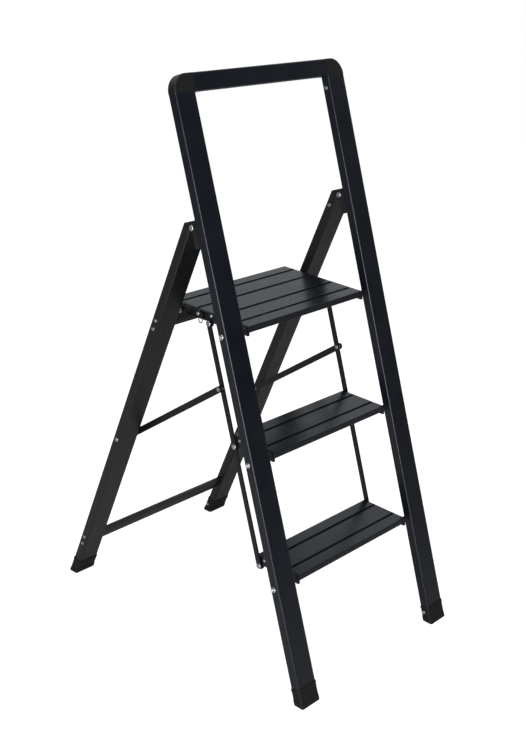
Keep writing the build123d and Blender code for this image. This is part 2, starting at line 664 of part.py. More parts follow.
def rest_notch():
    """Slot in the platform's side plates that drops over the rest pins, open the way the pins leave."""
    open_pin = REST_PIN
    moved = turned(*turned(*open_pin, *HINGE, -NOTCH_TURN), *TREAD_PIVOTS[-1], -NOTCH_TURN * FOLD_RATIO)
    reach_y = moved[0] - open_pin[0]
    reach_z = moved[1] - open_pin[1]
    radius = REST_PIN_RADIUS + MOVING_GAP
    length = math.hypot(reach_y, reach_z)
    angle = math.degrees(math.atan2(reach_z, reach_y))
    slot = Location((*open_pin, 0), (0, 0, angle)) * Pos(length / 2, 0) * Rectangle(length, 2 * radius)
    return slot + Pos(*open_pin) * Circle(radius)


def platform_side_plate():
    """Right-hand end plate of the platform, notched to rest on the leg's pin."""
    outline = side_plate_outline(STEP_COUNT - 1, PLATFORM_DEPTH) - rest_notch()
    return side_plate(STEP_COUNT - 1, outline, PLATFORM_SCREWS)


def left_platform_side_plate():
    """The left-hand end plate is also bored for the catch's rivet."""
    bore = peg(-PLATE_FACE - 1, -TREAD_END + 1, *CATCH_PIVOT, SMALL_RIVET_RADIUS + PIN_CLEARANCE)
    return mirrored(platform_side_plate()) - bore


def step_side_plate(number):
    """Right-hand end plate of one of the two steps."""
    return side_plate(number, side_plate_outline(number, STEP_DEPTH), STEP_SCREWS)


def tread_screws(number, ports):
    """Screws through the side plates into the plank's screw channels."""
    y, z = tread_origin(number)
    screws = []
    for port in ports:
        end = TREAD_END - SCREW_REACH
        screws.append(fastener(PLATE_FACE, end, y + port, z - PORT_DROP, SCREW_RADIUS, SCREW_HEAD))
    return on_both_sides(screws)


# ---------------------------------------------------------------- link rods and braces


def flat_bar(start, end, width, x0, x1):
    """Flat bar with round ends between two pivots of the side view."""
    length = math.dist(start, end)
    angle = math.degrees(math.atan2(end[1] - start[1], end[0] - start[0]))
    outline = Pos(length / 2, 0) * SlotCenterToCenter(length, width)
    return from_side(Location((*start, 0), (0, 0, angle)) * outline, x0, x1)


def link_rod():
    """Right-hand link rod: hangs from the platform and carries the back of both steps."""
    rod = flat_bar(ROD_PIVOTS[0], ROD_PIVOTS[-1], ROD_WIDTH, ROD_INNER, ROD_OUTER)
    for pivot in [*ROD_PIVOTS, BRACE_ROD]:
        rod -= peg(ROD_INNER - 1, ROD_OUTER + 1, *pivot, ROD_RIVET_RADIUS + PIN_CLEARANCE)
    return rod


def rod_tread_rivets():
    """Rivets that pin a rod to the ears of the three treads."""
    rivets = []
    for pivot in ROD_PIVOTS:
        radius, height = ROD_RIVET_TAIL
        tail_face = TREAD_END - MOVING_GAP
        rivet = fastener(ROD_OUTER, tail_face, *pivot, ROD_RIVET_RADIUS, ROD_RIVET_HEAD)
        rivets.append(rivet + peg(tail_face - height, tail_face, *pivot, radius))
    return group(rivets)


def rod_washers():
    """Washers that hold a rod away from the side plates."""
    washers = []
    for pivot in ROD_PIVOTS:
        washer = peg(PLATE_FACE + MOVING_GAP, ROD_INNER, *pivot, WASHER_RADIUS)
        washers.append(washer - peg(PLATE_FACE, ROD_OUTER, *pivot, ROD_RIVET_RADIUS + PIN_CLEARANCE))
    return group(washers)


def rod_brace_rivet():
    """Rivet that pins a brace to its rod, with a shoulder that spaces the two bars apart."""
    low_radius, low_height = ROD_RIVET_LOW_HEAD
    inner_head = (low_radius, ROD_GAP - PIN_CLEARANCE)
    inner = fastener(ROD_INNER, BRACE_OUTER, *BRACE_ROD, ROD_RIVET_RADIUS, inner_head)
    shoulder = peg(ROD_OUTER, BRACE_INNER - MOVING_GAP, *BRACE_ROD, low_radius)
    neck_end = BRACE_OUTER + MOVING_GAP
    neck = peg(BRACE_INNER, neck_end, *BRACE_ROD, ROD_RIVET_RADIUS)
    outer = peg(neck_end, neck_end + low_height, *BRACE_ROD, low_radius)
    return inner + shoulder + neck + outer


def brace():
    """Right-hand brace between the rod and the leg."""
    bar = flat_bar(BRACE_ROD, BRACE_LEG, BRACE_WIDTH, BRACE_INNER, BRACE_OUTER)
    bar -= peg(BRACE_INNER - 1, BRACE_OUTER + 1, *BRACE_ROD, ROD_RIVET_RADIUS + PIN_CLEARANCE)
    return bar - peg(BRACE_INNER - 1, BRACE_OUTER + 1, *BRACE_LEG, LEG_RIVET_RADIUS + PIN_CLEARANCE)


def brace_end_stud():
    """Riveted stud in the brace's leg end, flush on the side that faces the leg."""
    return fastener(BRACE_INNER, BRACE_OUTER, *BRACE_LEG, LEG_RIVET_RADIUS, LEG_RIVET_HEAD)


# ---------------------------------------------------------------- safety catch


def catch_lever():
    """Lever whose hooked end drops over the left rest pin; its tail carries the pull loop."""
    y, z = CATCH_PIVOT
    pin_y, pin_z = REST_PIN
    hook_radius = REST_PIN_RADIUS + CATCH_HOOK_GAP
    arm_top = z + CATCH_HUB_RADIUS - CATCH_ARM_DROP
    end_y = pin_y + hook_radius + CATCH_TOOTH
    arm = patch(y, end_y, arm_top - CATCH_ARM_DEPTH, arm_top)
    tooth = patch(pin_y + hook_radius, end_y, pin_z - CATCH_TOOTH_DROP, arm_top)
    tail = patch(y - CATCH_TAIL, y, z - CATCH_HUB_RADIUS, z + CATCH_TAIL_RISE)
    hub = Pos(y, z) * Circle(CATCH_HUB_RADIUS)
    outline = arm + tooth + tail + hub - Pos(*REST_PIN) * Circle(hook_radius)
    outline -= Pos(y, z) * Circle(SMALL_RIVET_RADIUS + PIN_CLEARANCE)
    return mirrored(from_side(outline, CATCH_INNER, CATCH_OUTER))


def catch_pull_loop():
    """Bent wire loop under the lever's tail."""
    y, z = CATCH_PIVOT
    middle_y = y - CATCH_TAIL + LOOP_RADIUS + LOOP_WIRE
    top = z - CATCH_HUB_RADIUS
    bend = top - LOOP_LEG
    path = Line((0, middle_y - LOOP_RADIUS, top), (0, middle_y - LOOP_RADIUS, bend))
    path += ThreePointArc(
        (0, middle_y - LOOP_RADIUS, bend),
        (0, middle_y, bend - LOOP_RADIUS),
        (0, middle_y + LOOP_RADIUS, bend),
    )
    path += Line((0, middle_y + LOOP_RADIUS, bend), (0, middle_y + LOOP_RADIUS, top))
    wire = sweep(Plane(path @ 0, z_dir=path % 0) * Circle(LOOP_WIRE), path=path)
    return Pos(-(CATCH_INNER + CATCH_OUTER) / 2, 0, 0) * wire


def catch_rivet():
    """Rivet the lever turns on, with a standing collar between lever and side plate."""
    head_face = CATCH_OUTER + PIN_CLEARANCE
    pin = fastener(head_face, TREAD_END, *CATCH_PIVOT, SMALL_RIVET_RADIUS, SMALL_RIVET_HEAD)
    collar = peg(PLATE_FACE, CATCH_INNER - PIN_CLEARANCE, *CATCH_PIVOT, CATCH_HUB_RADIUS / 2)
    return mirrored(pin + collar)


# ---------------------------------------------------------------- the whole stool


def build():
    """Every piece of the stool by its name, in its place on the open stool."""
    right = {
        "front_rail": front_rail(),
        "corner_connector": corner_connector(),
        "hinge_bracket": hinge_bracket(),
        "front_foot": front_foot(),
        "rear_leg": rear_leg(),
        "leg_hinge_cap": leg_hinge_cap(),
        "rear_foot": rear_foot(),
        "middle_step_side_plate": step_side_plate(1),
        "bottom_step_side_plate": step_side_plate(0),
        "link_rod": link_rod(),
        "rod_tread_rivets": rod_tread_rivets(),
        "rod_washers": rod_washers(),
        "rod_brace_rivet": rod_brace_rivet(),
        "brace": brace(),
        "brace_end_stud": brace_end_stud(),
    }
    pieces = {
        "top_rail": top_rail(),
        "corner_rivets": corner_rivets(),
        "hinge_bracket_rivets": hinge_bracket_rivets(),
        "hinge_pins": hinge_pins(),
        "tread_pivot_bolts": tread_pivot_bolts(),
        "tread_pivot_bushes": tread_pivot_bushes(),
        "front_foot_rivets": front_foot_rivets(),
        "rear_foot_rivets": rear_foot_rivets(),
        "leg_cap_rivets": leg_cap_rivets(),
        "lower_crossbar": crossbar(LOWER_CROSSBAR_UP),
        "upper_crossbar": crossbar(UPPER_CROSSBAR_UP),
        "crossbar_screws": crossbar_screws(),
        "rest_pins": rest_pins(),
        "brace_leg_rivets": brace_leg_rivets(),
        "platform_deck": plank(STEP_COUNT - 1, PLATFORM_DEPTH, PLATFORM_GROOVES, PLATFORM_SCREWS),
        "left_platform_side_plate": left_platform_side_plate(),
        "right_platform_side_plate": platform_side_plate(),
        "platform_screws": tread_screws(STEP_COUNT - 1, PLATFORM_SCREWS),
        "middle_step_plank": plank(1, STEP_DEPTH, STEP_GROOVES, STEP_SCREWS),
        "middle_step_screws": tread_screws(1, STEP_SCREWS),
        "bottom_step_plank": plank(0, STEP_DEPTH, STEP_GROOVES, STEP_SCREWS),
        "bottom_step_screws": tread_screws(0, STEP_SCREWS),
        "catch_lever": catch_lever(),
        "catch_pull_loop": catch_pull_loop(),
        "catch_rivet": catch_rivet(),
    }
    for name, piece in right.items():
        pieces[f"right_{name}"] = piece
        pieces[f"left_{name}"] = mirrored(piece)
    return pieces


def main():
    """Write each piece to its own STEP file."""
    os.makedirs("parts", exist_ok=True)
    for name, piece in build().items():
        export_step(piece, f"parts/{name}.step")


if __name__ == "__main__":
    main()
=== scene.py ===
import json
import math

import bmesh
import bpy
from bpy.props import FloatProperty, FloatVectorProperty, IntProperty, PointerProperty
from mathutils import Matrix, Vector

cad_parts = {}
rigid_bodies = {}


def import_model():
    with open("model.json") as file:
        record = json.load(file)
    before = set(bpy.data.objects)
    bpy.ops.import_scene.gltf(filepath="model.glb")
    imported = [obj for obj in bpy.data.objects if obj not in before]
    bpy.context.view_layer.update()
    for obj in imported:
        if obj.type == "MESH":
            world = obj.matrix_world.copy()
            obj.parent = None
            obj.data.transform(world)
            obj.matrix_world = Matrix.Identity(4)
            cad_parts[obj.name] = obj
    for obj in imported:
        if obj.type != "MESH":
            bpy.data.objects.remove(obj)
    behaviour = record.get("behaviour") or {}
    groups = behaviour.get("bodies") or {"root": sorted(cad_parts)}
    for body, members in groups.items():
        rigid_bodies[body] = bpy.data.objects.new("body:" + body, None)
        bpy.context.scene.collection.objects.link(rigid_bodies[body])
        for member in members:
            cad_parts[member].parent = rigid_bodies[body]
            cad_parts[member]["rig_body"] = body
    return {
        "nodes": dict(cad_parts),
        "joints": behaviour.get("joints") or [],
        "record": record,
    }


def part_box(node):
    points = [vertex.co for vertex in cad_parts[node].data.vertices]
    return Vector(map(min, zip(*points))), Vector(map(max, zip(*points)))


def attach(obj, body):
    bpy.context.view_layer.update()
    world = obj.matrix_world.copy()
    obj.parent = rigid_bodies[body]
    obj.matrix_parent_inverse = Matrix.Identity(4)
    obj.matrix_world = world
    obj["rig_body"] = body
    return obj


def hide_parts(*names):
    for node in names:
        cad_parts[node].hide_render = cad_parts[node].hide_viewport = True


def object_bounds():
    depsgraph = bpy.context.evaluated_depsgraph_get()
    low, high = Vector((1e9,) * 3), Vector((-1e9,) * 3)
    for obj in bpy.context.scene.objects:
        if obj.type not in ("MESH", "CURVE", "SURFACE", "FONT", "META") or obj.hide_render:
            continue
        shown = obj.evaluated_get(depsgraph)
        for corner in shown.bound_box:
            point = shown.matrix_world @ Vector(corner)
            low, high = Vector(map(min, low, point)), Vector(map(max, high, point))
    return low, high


bl_info = {
    "name": "Folding step stool",
    "version": (1, 0, 0),
    "blender": (4, 5, 0),
    "location": "View3D > Sidebar > Stool",
    "description": "Shapes and finishes the pieces of a folding three-tread step stool with a hand rail",
    "category": "Object",
}

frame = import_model()
CAD_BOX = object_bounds()
MM = 0.001
TINY = 1e-5
# Closer than this, two vertices are one
MERGE = TINY / 5
# Distance within which a cutting plane takes a vertex to lie on it
CUT = TINY / 10
SLOT_OF = {row["node"]: row["material_slot"] for row in frame["record"]["subparts"]}
JOINT_AT = {row["name"]: Vector(row["pos_m"]) for row in frame["joints"]}
HINGE = JOINT_AT["rear_fold"]
SIDES = ("left", "right")
TREAD_NODES = ("platform_deck", "middle_step_plank", "bottom_step_plank")
PLATE_NODES = [
    f"{side}_{tread}_side_plate" for side in SIDES for tread in ("platform", "middle_step", "bottom_step")
]
# Grooves of each plank, as distances behind its front edge in millimetres
GROOVES_OF = {
    "platform_deck": (31.0, 77.5, 135.7, 183.8),
    "middle_step_plank": (29.5, 79.5),
    "bottom_step_plank": (29.5, 79.5),
}
# Each set of fasteners with the kind of head it has
RIVETS = (
    "corner_rivets",
    "hinge_bracket_rivets",
    "front_foot_rivets",
    "rear_foot_rivets",
    "leg_cap_rivets",
    "catch_rivet",
)
SCREWS = ("crossbar_screws", "platform_screws", "middle_step_screws", "bottom_step_screws")
BOLTS = ("tread_pivot_bolts",)
PEENED = (
    "hinge_pins",
    "rest_pins",
    "brace_leg_rivets",
    "left_rod_tread_rivets",
    "right_rod_tread_rivets",
    "left_rod_brace_rivet",
    "right_rod_brace_rivet",
    "left_brace_end_stud",
    "right_brace_end_stud",
)
# Steps round a turned piece: a multiple of twelve, so that cross and six-sided recesses land on corners
TURN_STEPS = 24
# Faces that meet at less than this are made one
FLAT = math.radians(0.5)
# Edges sharper than this are rounded, where they are longer than this many times the rounding
SHARP = math.radians(50)
LONG_EDGE = 5
# Shoes: spare stock to be cut off, floor under the tube, slack round the tube, rounding of the rim and of
# the sole, width and depth of the waist's step, bars on the sole and the groove between them
SHOE_STOCK = 60 * MM
SHOE_FLOOR = 14 * MM
SHOE_SLACK = 0.05 * MM
RIM_ROUND = 0.5 * MM
SOLE_ROUND = 1.2 * MM
WAIST_STEP = 0.5 * MM
WAIST_DEPTH = 0.7 * MM
SOLE_BARS = 4
SOLE_GROOVE = 0.9 * MM
# Share of a shoe's half width or depth past which an edge lies on its outside
NEAR_OUTSIDE = 0.985
# Ribs: bare plank at each end, depth sunk into the plank, first and last rib, ridges below the top
RIB_END = 1.0 * MM
RIB_BURY = 0.1 * MM
FIRST_RIB = 2.6 * MM
LAST_RIB = 2.4 * MM
RIDGE_DROPS = (3.2 * MM, 6.4 * MM, 9.6 * MM)
# Each light's place and size in metres, and the way from the stool to the lit side of the studio
TOP_LIGHT = ((-0.9, -0.2, 3.0), (1.8, 1.8))
FRONT_LIGHT = ((-2.5, -2.1, 1.0), (2.4, 1.6))
LIT_SIDE = (0.74, 0.64, 0.2)
# Bright length of a rest pin beside its leg
COLLAR = 4.5 * MM
# Corner rivets further in than this from the hand rail's end go up into it
UP_RIVET_INSET = 8 * MM


def linear(hex_colour):
    """Linear RGB of an sRGB hex colour."""
    levels = [int(hex_colour[place : place + 2], 16) / 255 for place in (1, 3, 5)]
    return tuple(level / 12.92 if level <= 0.04045 else ((level + 0.055) / 1.055) ** 2.4 for level in levels)


class StoolSizes(bpy.types.PropertyGroup):
    """Sizes that the pieces share."""

    lean: FloatProperty(
        name="Lean", description="Lean of the front frame", default=math.radians(20), subtype="ANGLE"
    )
    leg_lean: FloatProperty(
        name="Leg lean", description="Lean of the rear legs", default=math.radians(20), subtype="ANGLE"
    )
    hinge_back: FloatProperty(
        name="Hinge back",
        description="Main hinge behind the rail's front face",
        default=31.0 * MM,
        unit="LENGTH",
    )
    hinge_up: FloatProperty(
        name="Hinge height", description="Main hinge along the rail", default=936.2 * MM, unit="LENGTH"
    )
    hinge_ahead: FloatProperty(
        name="Hinge ahead",
        description="Main hinge in front of the leg's front face",
        default=1.2 * MM,
        unit="LENGTH",
    )
    tube_depth: FloatProperty(
        name="Tube depth", description="Depth of the rails and legs", default=20.0 * MM, unit="LENGTH"
    )
    tube_corner: FloatProperty(
        name="Tube corner", description="Corner radius of the tubes", default=3.0 * MM, unit="LENGTH"
    )
    rib_pitch: FloatProperty(
        name="Rib pitch", description="Distance between the treads' ribs", default=3.0 * MM, unit="LENGTH"
    )
    rib_width: FloatProperty(name="Rib width", description="Width of a rib", default=1.6 * MM, unit="LENGTH")
    rib_height: FloatProperty(
        name="Rib height", description="How far a rib stands up", default=0.2 * MM, unit="LENGTH"
    )
    bead_height: FloatProperty(
        name="Bead height",
        description="Height of the beads along the grooves",
        default=0.8 * MM,
        unit="LENGTH",
    )
    groove_half: FloatProperty(
        name="Groove half width", description="Half the width of a groove", default=2.0 * MM, unit="LENGTH"
    )
    front_collar: FloatProperty(
        name="Front collar", description="Height of the front shoes", default=40.0 * MM, unit="LENGTH"
    )
    rear_collar: FloatProperty(
        name="Rear collar", description="Height of the rear shoes", default=35.0 * MM, unit="LENGTH"
    )
    shoe_lip: FloatProperty(
        name="Shoe lip", description="Height of the lip round a shoe's mouth", default=5.0 * MM, unit="LENGTH"
    )
    sole: FloatProperty(
        name="Sole", description="Height of the sole band of a shoe", default=9.0 * MM, unit="LENGTH"
    )
    edge_break: FloatProperty(
        name="Edge break", description="Rounding of cut and moulded edges", default=0.6 * MM, unit="LENGTH"
    )


class StoolColours(bpy.types.PropertyGroup):
    """Colours of the finishes."""

    rail_coat: FloatVectorProperty(
        name="Rail coat",
        description="Powder coat of the front frame",
        default=linear("#0a0f18"),
        subtype="COLOR",
    )
    leg_coat: FloatVectorProperty(
        name="Leg coat", description="Powder coat of the legs", default=linear("#111213"), subtype="COLOR"
    )
    tread: FloatVectorProperty(
        name="Tread", description="Anodised planks", default=linear("#1f2329"), subtype="COLOR"
    )
    moulding: FloatVectorProperty(
        name="Moulding", description="Moulded corners and hinges", default=linear("#0a0a0b"), subtype="COLOR"
    )
    shoe: FloatVectorProperty(
        name="Shoe", description="Soft moulded feet", default=linear("#080809"), subtype="COLOR"
    )
    black_steel: FloatVectorProperty(
        name="Black steel", description="Coated plates and rods", default=linear("#08090a"), subtype="COLOR"
    )
    bright_steel: FloatVectorProperty(
        name="Bright steel", description="Zinc-plated fasteners", default=linear("#d6d8db"), subtype="COLOR"
    )
    floor: FloatVectorProperty(
        name="Floor", description="Studio floor", default=linear("#c8c8c8"), subtype="COLOR"
    )


class StoolStage(bpy.types.PropertyGroup):
    """Light and camera."""

    camera_at: FloatVectorProperty(
        name="Camera",
        description="Place of the camera",
        default=(-1.7918, -1.5316, 1.4802),
        subtype="TRANSLATION",
    )
    heading: FloatProperty(
        name="Heading", description="Turn about the vertical", default=math.radians(-49.176), subtype="ANGLE"
    )
    down: FloatProperty(
        name="Down",
        description="How far the camera looks down",
        default=math.radians(22.188),
        subtype="ANGLE",
    )
    roll: FloatProperty(
        name="Roll", description="Turn about the view", default=math.radians(3.723), subtype="ANGLE"
    )
    lens: FloatProperty(name="Lens", description="Focal length in millimetres", default=59.504)
    backdrop: FloatProperty(name="Backdrop", description="Brightness of the lit backdrop", default=0.85)
    room: FloatProperty(name="Room", description="Brightness of the dim side of the studio", default=0.04)
    top_power: FloatProperty(name="Top power", description="Power of the top light in watts", default=30.0)
    front_power: FloatProperty(
        name="Front power", description="Power of the front light in watts", default=90.0
    )
    floor_glow: FloatProperty(
        name="Floor glow", description="Light added to the floor as it is seen", default=0.85
    )
    floor_half: IntProperty(name="Floor reach", description="Half the floor's width in metres", default=25)


# ---------------------------------------------------------------- materials


def add_node(tree, kind, settings=None, links=None):
    """Adds a node, sets its properties and sockets, and joins sockets to other nodes' outputs."""
    node = tree.nodes.new(kind)
    for key, value in (settings or {}).items():
        if isinstance(key, int) or key in node.inputs:
            node.inputs[key].default_value = value
        else:
            setattr(node, key, value)
    for key, source in (links or {}).items():
        tree.links.new(source, node.inputs[key])
    return node


def start_material(name, sockets):
    """A node material that holds only its shader, with the values that are the same all over."""
    material = bpy.data.materials.new(name)
    material.use_nodes = True
    tree = material.node_tree
    tree.nodes.clear()
    shader = add_node(tree, "ShaderNodeBsdfPrincipled", sockets)
    add_node(tree, "ShaderNodeOutputMaterial", links={"Surface": shader.outputs["BSDF"]})
    return material, tree, shader


def join_finish(tree, shader, tint, gloss, bump):
    """Joins a finish's colour, roughness and relief to its shader."""
    tree.links.new(tint.outputs[2], shader.inputs["Base Color"])
    tree.links.new(gloss.outputs["Result"], shader.inputs["Roughness"])
    tree.links.new(bump.outputs["Normal"], shader.inputs["Normal"])


def per_mm(size):
    """Pattern scale whose features are about this many millimetres across."""
    return 1 / (size * MM)


def shade(colour, factor):
    """A colour made darker or lighter, as RGBA."""
    return (*[min(1.0, part * factor) for part in colour], 1.0)


def powder_coat(name, colour, roughness):
    """Polyester powder coat baked on aluminium tube."""
    # The eye gets an even satin black, a faint orange peel in the highlights and a few handling marks.
    material, tree, shader = start_material(name, {"IOR": 1.5, "Specular IOR Level": 0.5})
    place = add_node(tree, "ShaderNodeTexCoord").outputs["Object"]
    # Orange peel is about 0.8 mm across; it is drawn at 2.4 mm so that it shows.
    peel = add_node(tree, "ShaderNodeTexNoise", {"Scale": per_mm(2.4), "Detail": 2.0}, {"Vector": place})
    cloud = add_node(tree, "ShaderNodeTexNoise", {"Scale": per_mm(70), "Detail": 4.0}, {"Vector": place})
    marks = add_node(
        tree, "ShaderNodeTexNoise", {"Scale": per_mm(9), "Detail": 6.0, "Roughness": 0.7}, {"Vector": place}
    )
    rubbed = add_node(
        tree, "ShaderNodeMapRange", {"From Min": 0.62, "From Max": 0.80}, {"Value": marks.outputs["Fac"]}
    )
    body = add_node(
        tree,
        "ShaderNodeMix",
        {"data_type": "RGBA", 6: shade(colour, 0.8), 7: shade(colour, 1.25)},
        {0: cloud.outputs["Fac"]},
    )
    worn = add_node(
        tree,
        "ShaderNodeMix",
        {"data_type": "RGBA", 7: shade(colour, 2.2)},
        {0: rubbed.outputs["Result"], 6: body.outputs[2]},
    )
    gloss = add_node(
        tree,
        "ShaderNodeMapRange",
        {"From Min": 0.3, "From Max": 0.7, "To Min": roughness - 0.04, "To Max": roughness + 0.06},
        {"Value": cloud.outputs["Fac"]},
    )
    bump = add_node(
        tree, "ShaderNodeBump", {"Strength": 0.16, "Distance": 0.1 * MM}, {"Height": peel.outputs["Fac"]}
    )
    join_finish(tree, shader, worn, gloss, bump)
    return material


def anodised_extrusion(name, colour):
    """Dark anodised aluminium, extruded along the tread."""
    # The eye gets a slate sheen drawn out along the plank by die lines, in slightly uneven shades.
    material, tree, shader = start_material(name, {"Metallic": 0.55})
    place = add_node(tree, "ShaderNodeTexCoord").outputs["Object"]
    # Die lines are 0.2 mm apart; they are drawn at 1.2 mm across and 90 mm long so that they show.
    along = add_node(tree, "ShaderNodeMapping", {"Scale": (1.2 / 90, 1.0, 1.0)}, {"Vector": place})
    lines = add_node(
        tree, "ShaderNodeTexNoise", {"Scale": per_mm(1.2), "Detail": 3.0}, {"Vector": along.outputs["Vector"]}
    )
    cloud = add_node(tree, "ShaderNodeTexNoise", {"Scale": per_mm(45), "Detail": 5.0}, {"Vector": place})
    streaks = add_node(
        tree,
        "ShaderNodeMix",
        {"data_type": "FLOAT", 0: 0.5},
        {2: lines.outputs["Fac"], 3: cloud.outputs["Fac"]},
    )
    tint = add_node(
        tree,
        "ShaderNodeMix",
        {"data_type": "RGBA", 6: shade(colour, 0.8), 7: shade(colour, 1.25)},
        {0: streaks.outputs[0]},
    )
    gloss = add_node(
        tree,
        "ShaderNodeMapRange",
        {"From Min": 0.3, "From Max": 0.7, "To Min": 0.2, "To Max": 0.34},
        {"Value": lines.outputs["Fac"]},
    )
    bump = add_node(
        tree, "ShaderNodeBump", {"Strength": 0.12, "Distance": 0.08 * MM}, {"Height": lines.outputs["Fac"]}
    )
    join_finish(tree, shader, tint, gloss, bump)
    return material


def moulded_nylon(name, colour):
    """Glass-filled nylon, injection moulded in a spark-finished tool."""
    # The eye gets a flatter, slightly warmer black than the coat, with a fine even grain.
    material, tree, shader = start_material(name, {"IOR": 1.53})
    place = add_node(tree, "ShaderNodeTexCoord").outputs["Object"]
    # Spark grain is 0.15 mm across; it is drawn at 1.1 mm so that it shows.
    grain = add_node(tree, "ShaderNodeTexNoise", {"Scale": per_mm(1.1), "Detail": 2.0}, {"Vector": place})
    flow = add_node(tree, "ShaderNodeTexNoise", {"Scale": per_mm(25), "Detail": 3.0}, {"Vector": place})
    tint = add_node(
        tree,
        "ShaderNodeMix",
        {"data_type": "RGBA", 6: shade(colour, 0.8), 7: shade(colour, 1.3)},
        {0: flow.outputs["Fac"]},
    )
    gloss = add_node(
        tree, "ShaderNodeMapRange", {"To Min": 0.44, "To Max": 0.62}, {"Value": grain.outputs["Fac"]}
    )
    bump = add_node(
        tree, "ShaderNodeBump", {"Strength": 0.3, "Distance": 0.06 * MM}, {"Height": grain.outputs["Fac"]}
    )
    join_finish(tree, shader, tint, gloss, bump)
    return material


def soft_pvc(name, colour):
    """Soft PVC, moulded, for the shoes."""
    # The eye gets a dull black with pale dust held in its grain, heavier near the floor.
    material, tree, shader = start_material(name, {"IOR": 1.5, "Specular IOR Level": 0.4})
    place = add_node(tree, "ShaderNodeTexCoord").outputs["Object"]
    # The moulded grain is 0.3 mm across; it is drawn at 1.4 mm so that it shows.
    grain = add_node(tree, "ShaderNodeTexNoise", {"Scale": per_mm(1.4), "Detail": 3.0}, {"Vector": place})
    dust = add_node(tree, "ShaderNodeTexNoise", {"Scale": per_mm(7), "Detail": 5.0}, {"Vector": place})
    height = add_node(tree, "ShaderNodeSeparateXYZ", links={"Vector": place})
    low = add_node(
        tree,
        "ShaderNodeMapRange",
        {"From Min": 0.0, "From Max": 12 * MM, "To Min": 0.9, "To Max": 0.2},
        {"Value": height.outputs["Z"]},
    )
    amount = add_node(
        tree, "ShaderNodeMath", {"operation": "MULTIPLY"}, {0: dust.outputs["Fac"], 1: low.outputs["Result"]}
    )
    tint = add_node(
        tree,
        "ShaderNodeMix",
        {"data_type": "RGBA", 6: shade(colour, 0.9), 7: shade(colour, 2.6)},
        {0: amount.outputs["Value"]},
    )
    gloss = add_node(
        tree, "ShaderNodeMapRange", {"To Min": 0.55, "To Max": 0.8}, {"Value": grain.outputs["Fac"]}
    )
    bump = add_node(
        tree, "ShaderNodeBump", {"Strength": 0.35, "Distance": 0.08 * MM}, {"Height": grain.outputs["Fac"]}
    )
    join_finish(tree, shader, tint, gloss, bump)
    return material


def coated_steel(name, colour):
    """Blanked steel strip under a thin electrophoretic coat."""
    # The eye gets the darkest and smoothest black here, with soft runs of gloss along the strip.
    material, tree, shader = start_material(name, {"IOR": 1.5, "Specular IOR Level": 0.5})
    place = add_node(tree, "ShaderNodeTexCoord").outputs["Object"]
    runs = add_node(tree, "ShaderNodeTexNoise", {"Scale": per_mm(18), "Detail": 4.0}, {"Vector": place})
    # Coat specks are 0.3 mm across; they are drawn at 1.6 mm so that they show.
    specks = add_node(tree, "ShaderNodeTexNoise", {"Scale": per_mm(1.6), "Detail": 2.0}, {"Vector": place})
    tint = add_node(
        tree,
        "ShaderNodeMix",
        {"data_type": "RGBA", 6: shade(colour, 0.75), 7: shade(colour, 1.4)},
        {0: runs.outputs["Fac"]},
    )
    gloss = add_node(
        tree, "ShaderNodeMapRange", {"To Min": 0.28, "To Max": 0.5}, {"Value": runs.outputs["Fac"]}
    )
    bump = add_node(
        tree, "ShaderNodeBump", {"Strength": 0.15, "Distance": 0.05 * MM}, {"Height": specks.outputs["Fac"]}
    )
    join_finish(tree, shader, tint, gloss, bump)
    return material


def zinc_plate(name, colour):
    """Bright zinc-plated steel, cold headed."""
    # The eye gets a cool bright silver with a mottled sheen and patches of slightly duller plate.
    material, tree, shader = start_material(name, {"Metallic": 1.0})
    place = add_node(tree, "ShaderNodeTexCoord").outputs["Object"]
    # Zinc spangle is under 0.5 mm; it is drawn at 1.5 mm so that it shows.
    spangle = add_node(tree, "ShaderNodeTexVoronoi", {"Scale": per_mm(1.5)}, {"Vector": place})
    cloud = add_node(tree, "ShaderNodeTexNoise", {"Scale": per_mm(4), "Detail": 4.0}, {"Vector": place})
    tint = add_node(
        tree,
        "ShaderNodeMix",
        {"data_type": "RGBA", 6: shade(colour, 0.72), 7: shade(colour, 1.1)},
        {0: cloud.outputs["Fac"]},
    )
    gloss = add_node(
        tree, "ShaderNodeMapRange", {"To Min": 0.2, "To Max": 0.42}, {"Value": spangle.outputs["Distance"]}
    )
    bump = add_node(
        tree,
        "ShaderNodeBump",
        {"Strength": 0.1, "Distance": 0.05 * MM},
        {"Height": spangle.outputs["Distance"]},
    )
    join_finish(tree, shader, tint, gloss, bump)
    return material


def finish_for(slot):
    """The material of one of the record's slots, made once."""
    colours = bpy.context.scene.stool_colours
    name, make, values = {
        "rail_paint": ("powder_coated_rail", powder_coat, (colours.rail_coat, 0.34)),
        "leg_paint": ("powder_coated_leg", powder_coat, (colours.leg_coat, 0.38)),
        "tread_finish": ("anodised_tread", anodised_extrusion, (colours.tread,)),
        "moulded_black": ("moulded_nylon", moulded_nylon, (colours.moulding,)),
        "rubber_black": ("soft_pvc_shoe", soft_pvc, (colours.shoe,)),
        "black_steel": ("coated_steel_strip", coated_steel, (colours.black_steel,)),
        "bright_steel": ("zinc_plated_steel", zinc_plate, (colours.bright_steel,)),
    }[slot]
    if name in bpy.data.materials:
        return bpy.data.materials[name]
    return make(name, *values)


def coat(node):
    """Gives a CAD node the finish of its slot."""
    thing = frame["nodes"][node]
    thing.data.materials.clear()
    thing.data.materials.append(finish_for(SLOT_OF[node]))


# ---------------------------------------------------------------- mesh helpers


def front_place(sizes):
    """The front frame's slanted frame: X across, Y behind the rail's face, Z along the rail."""
    back = sizes.hinge_back * math.cos(sizes.lean) + sizes.hinge_up * math.sin(sizes.lean)
    return Matrix.Translation((0, HINGE.y - back, 0)) @ Matrix.Rotation(-sizes.lean, 4, "X")


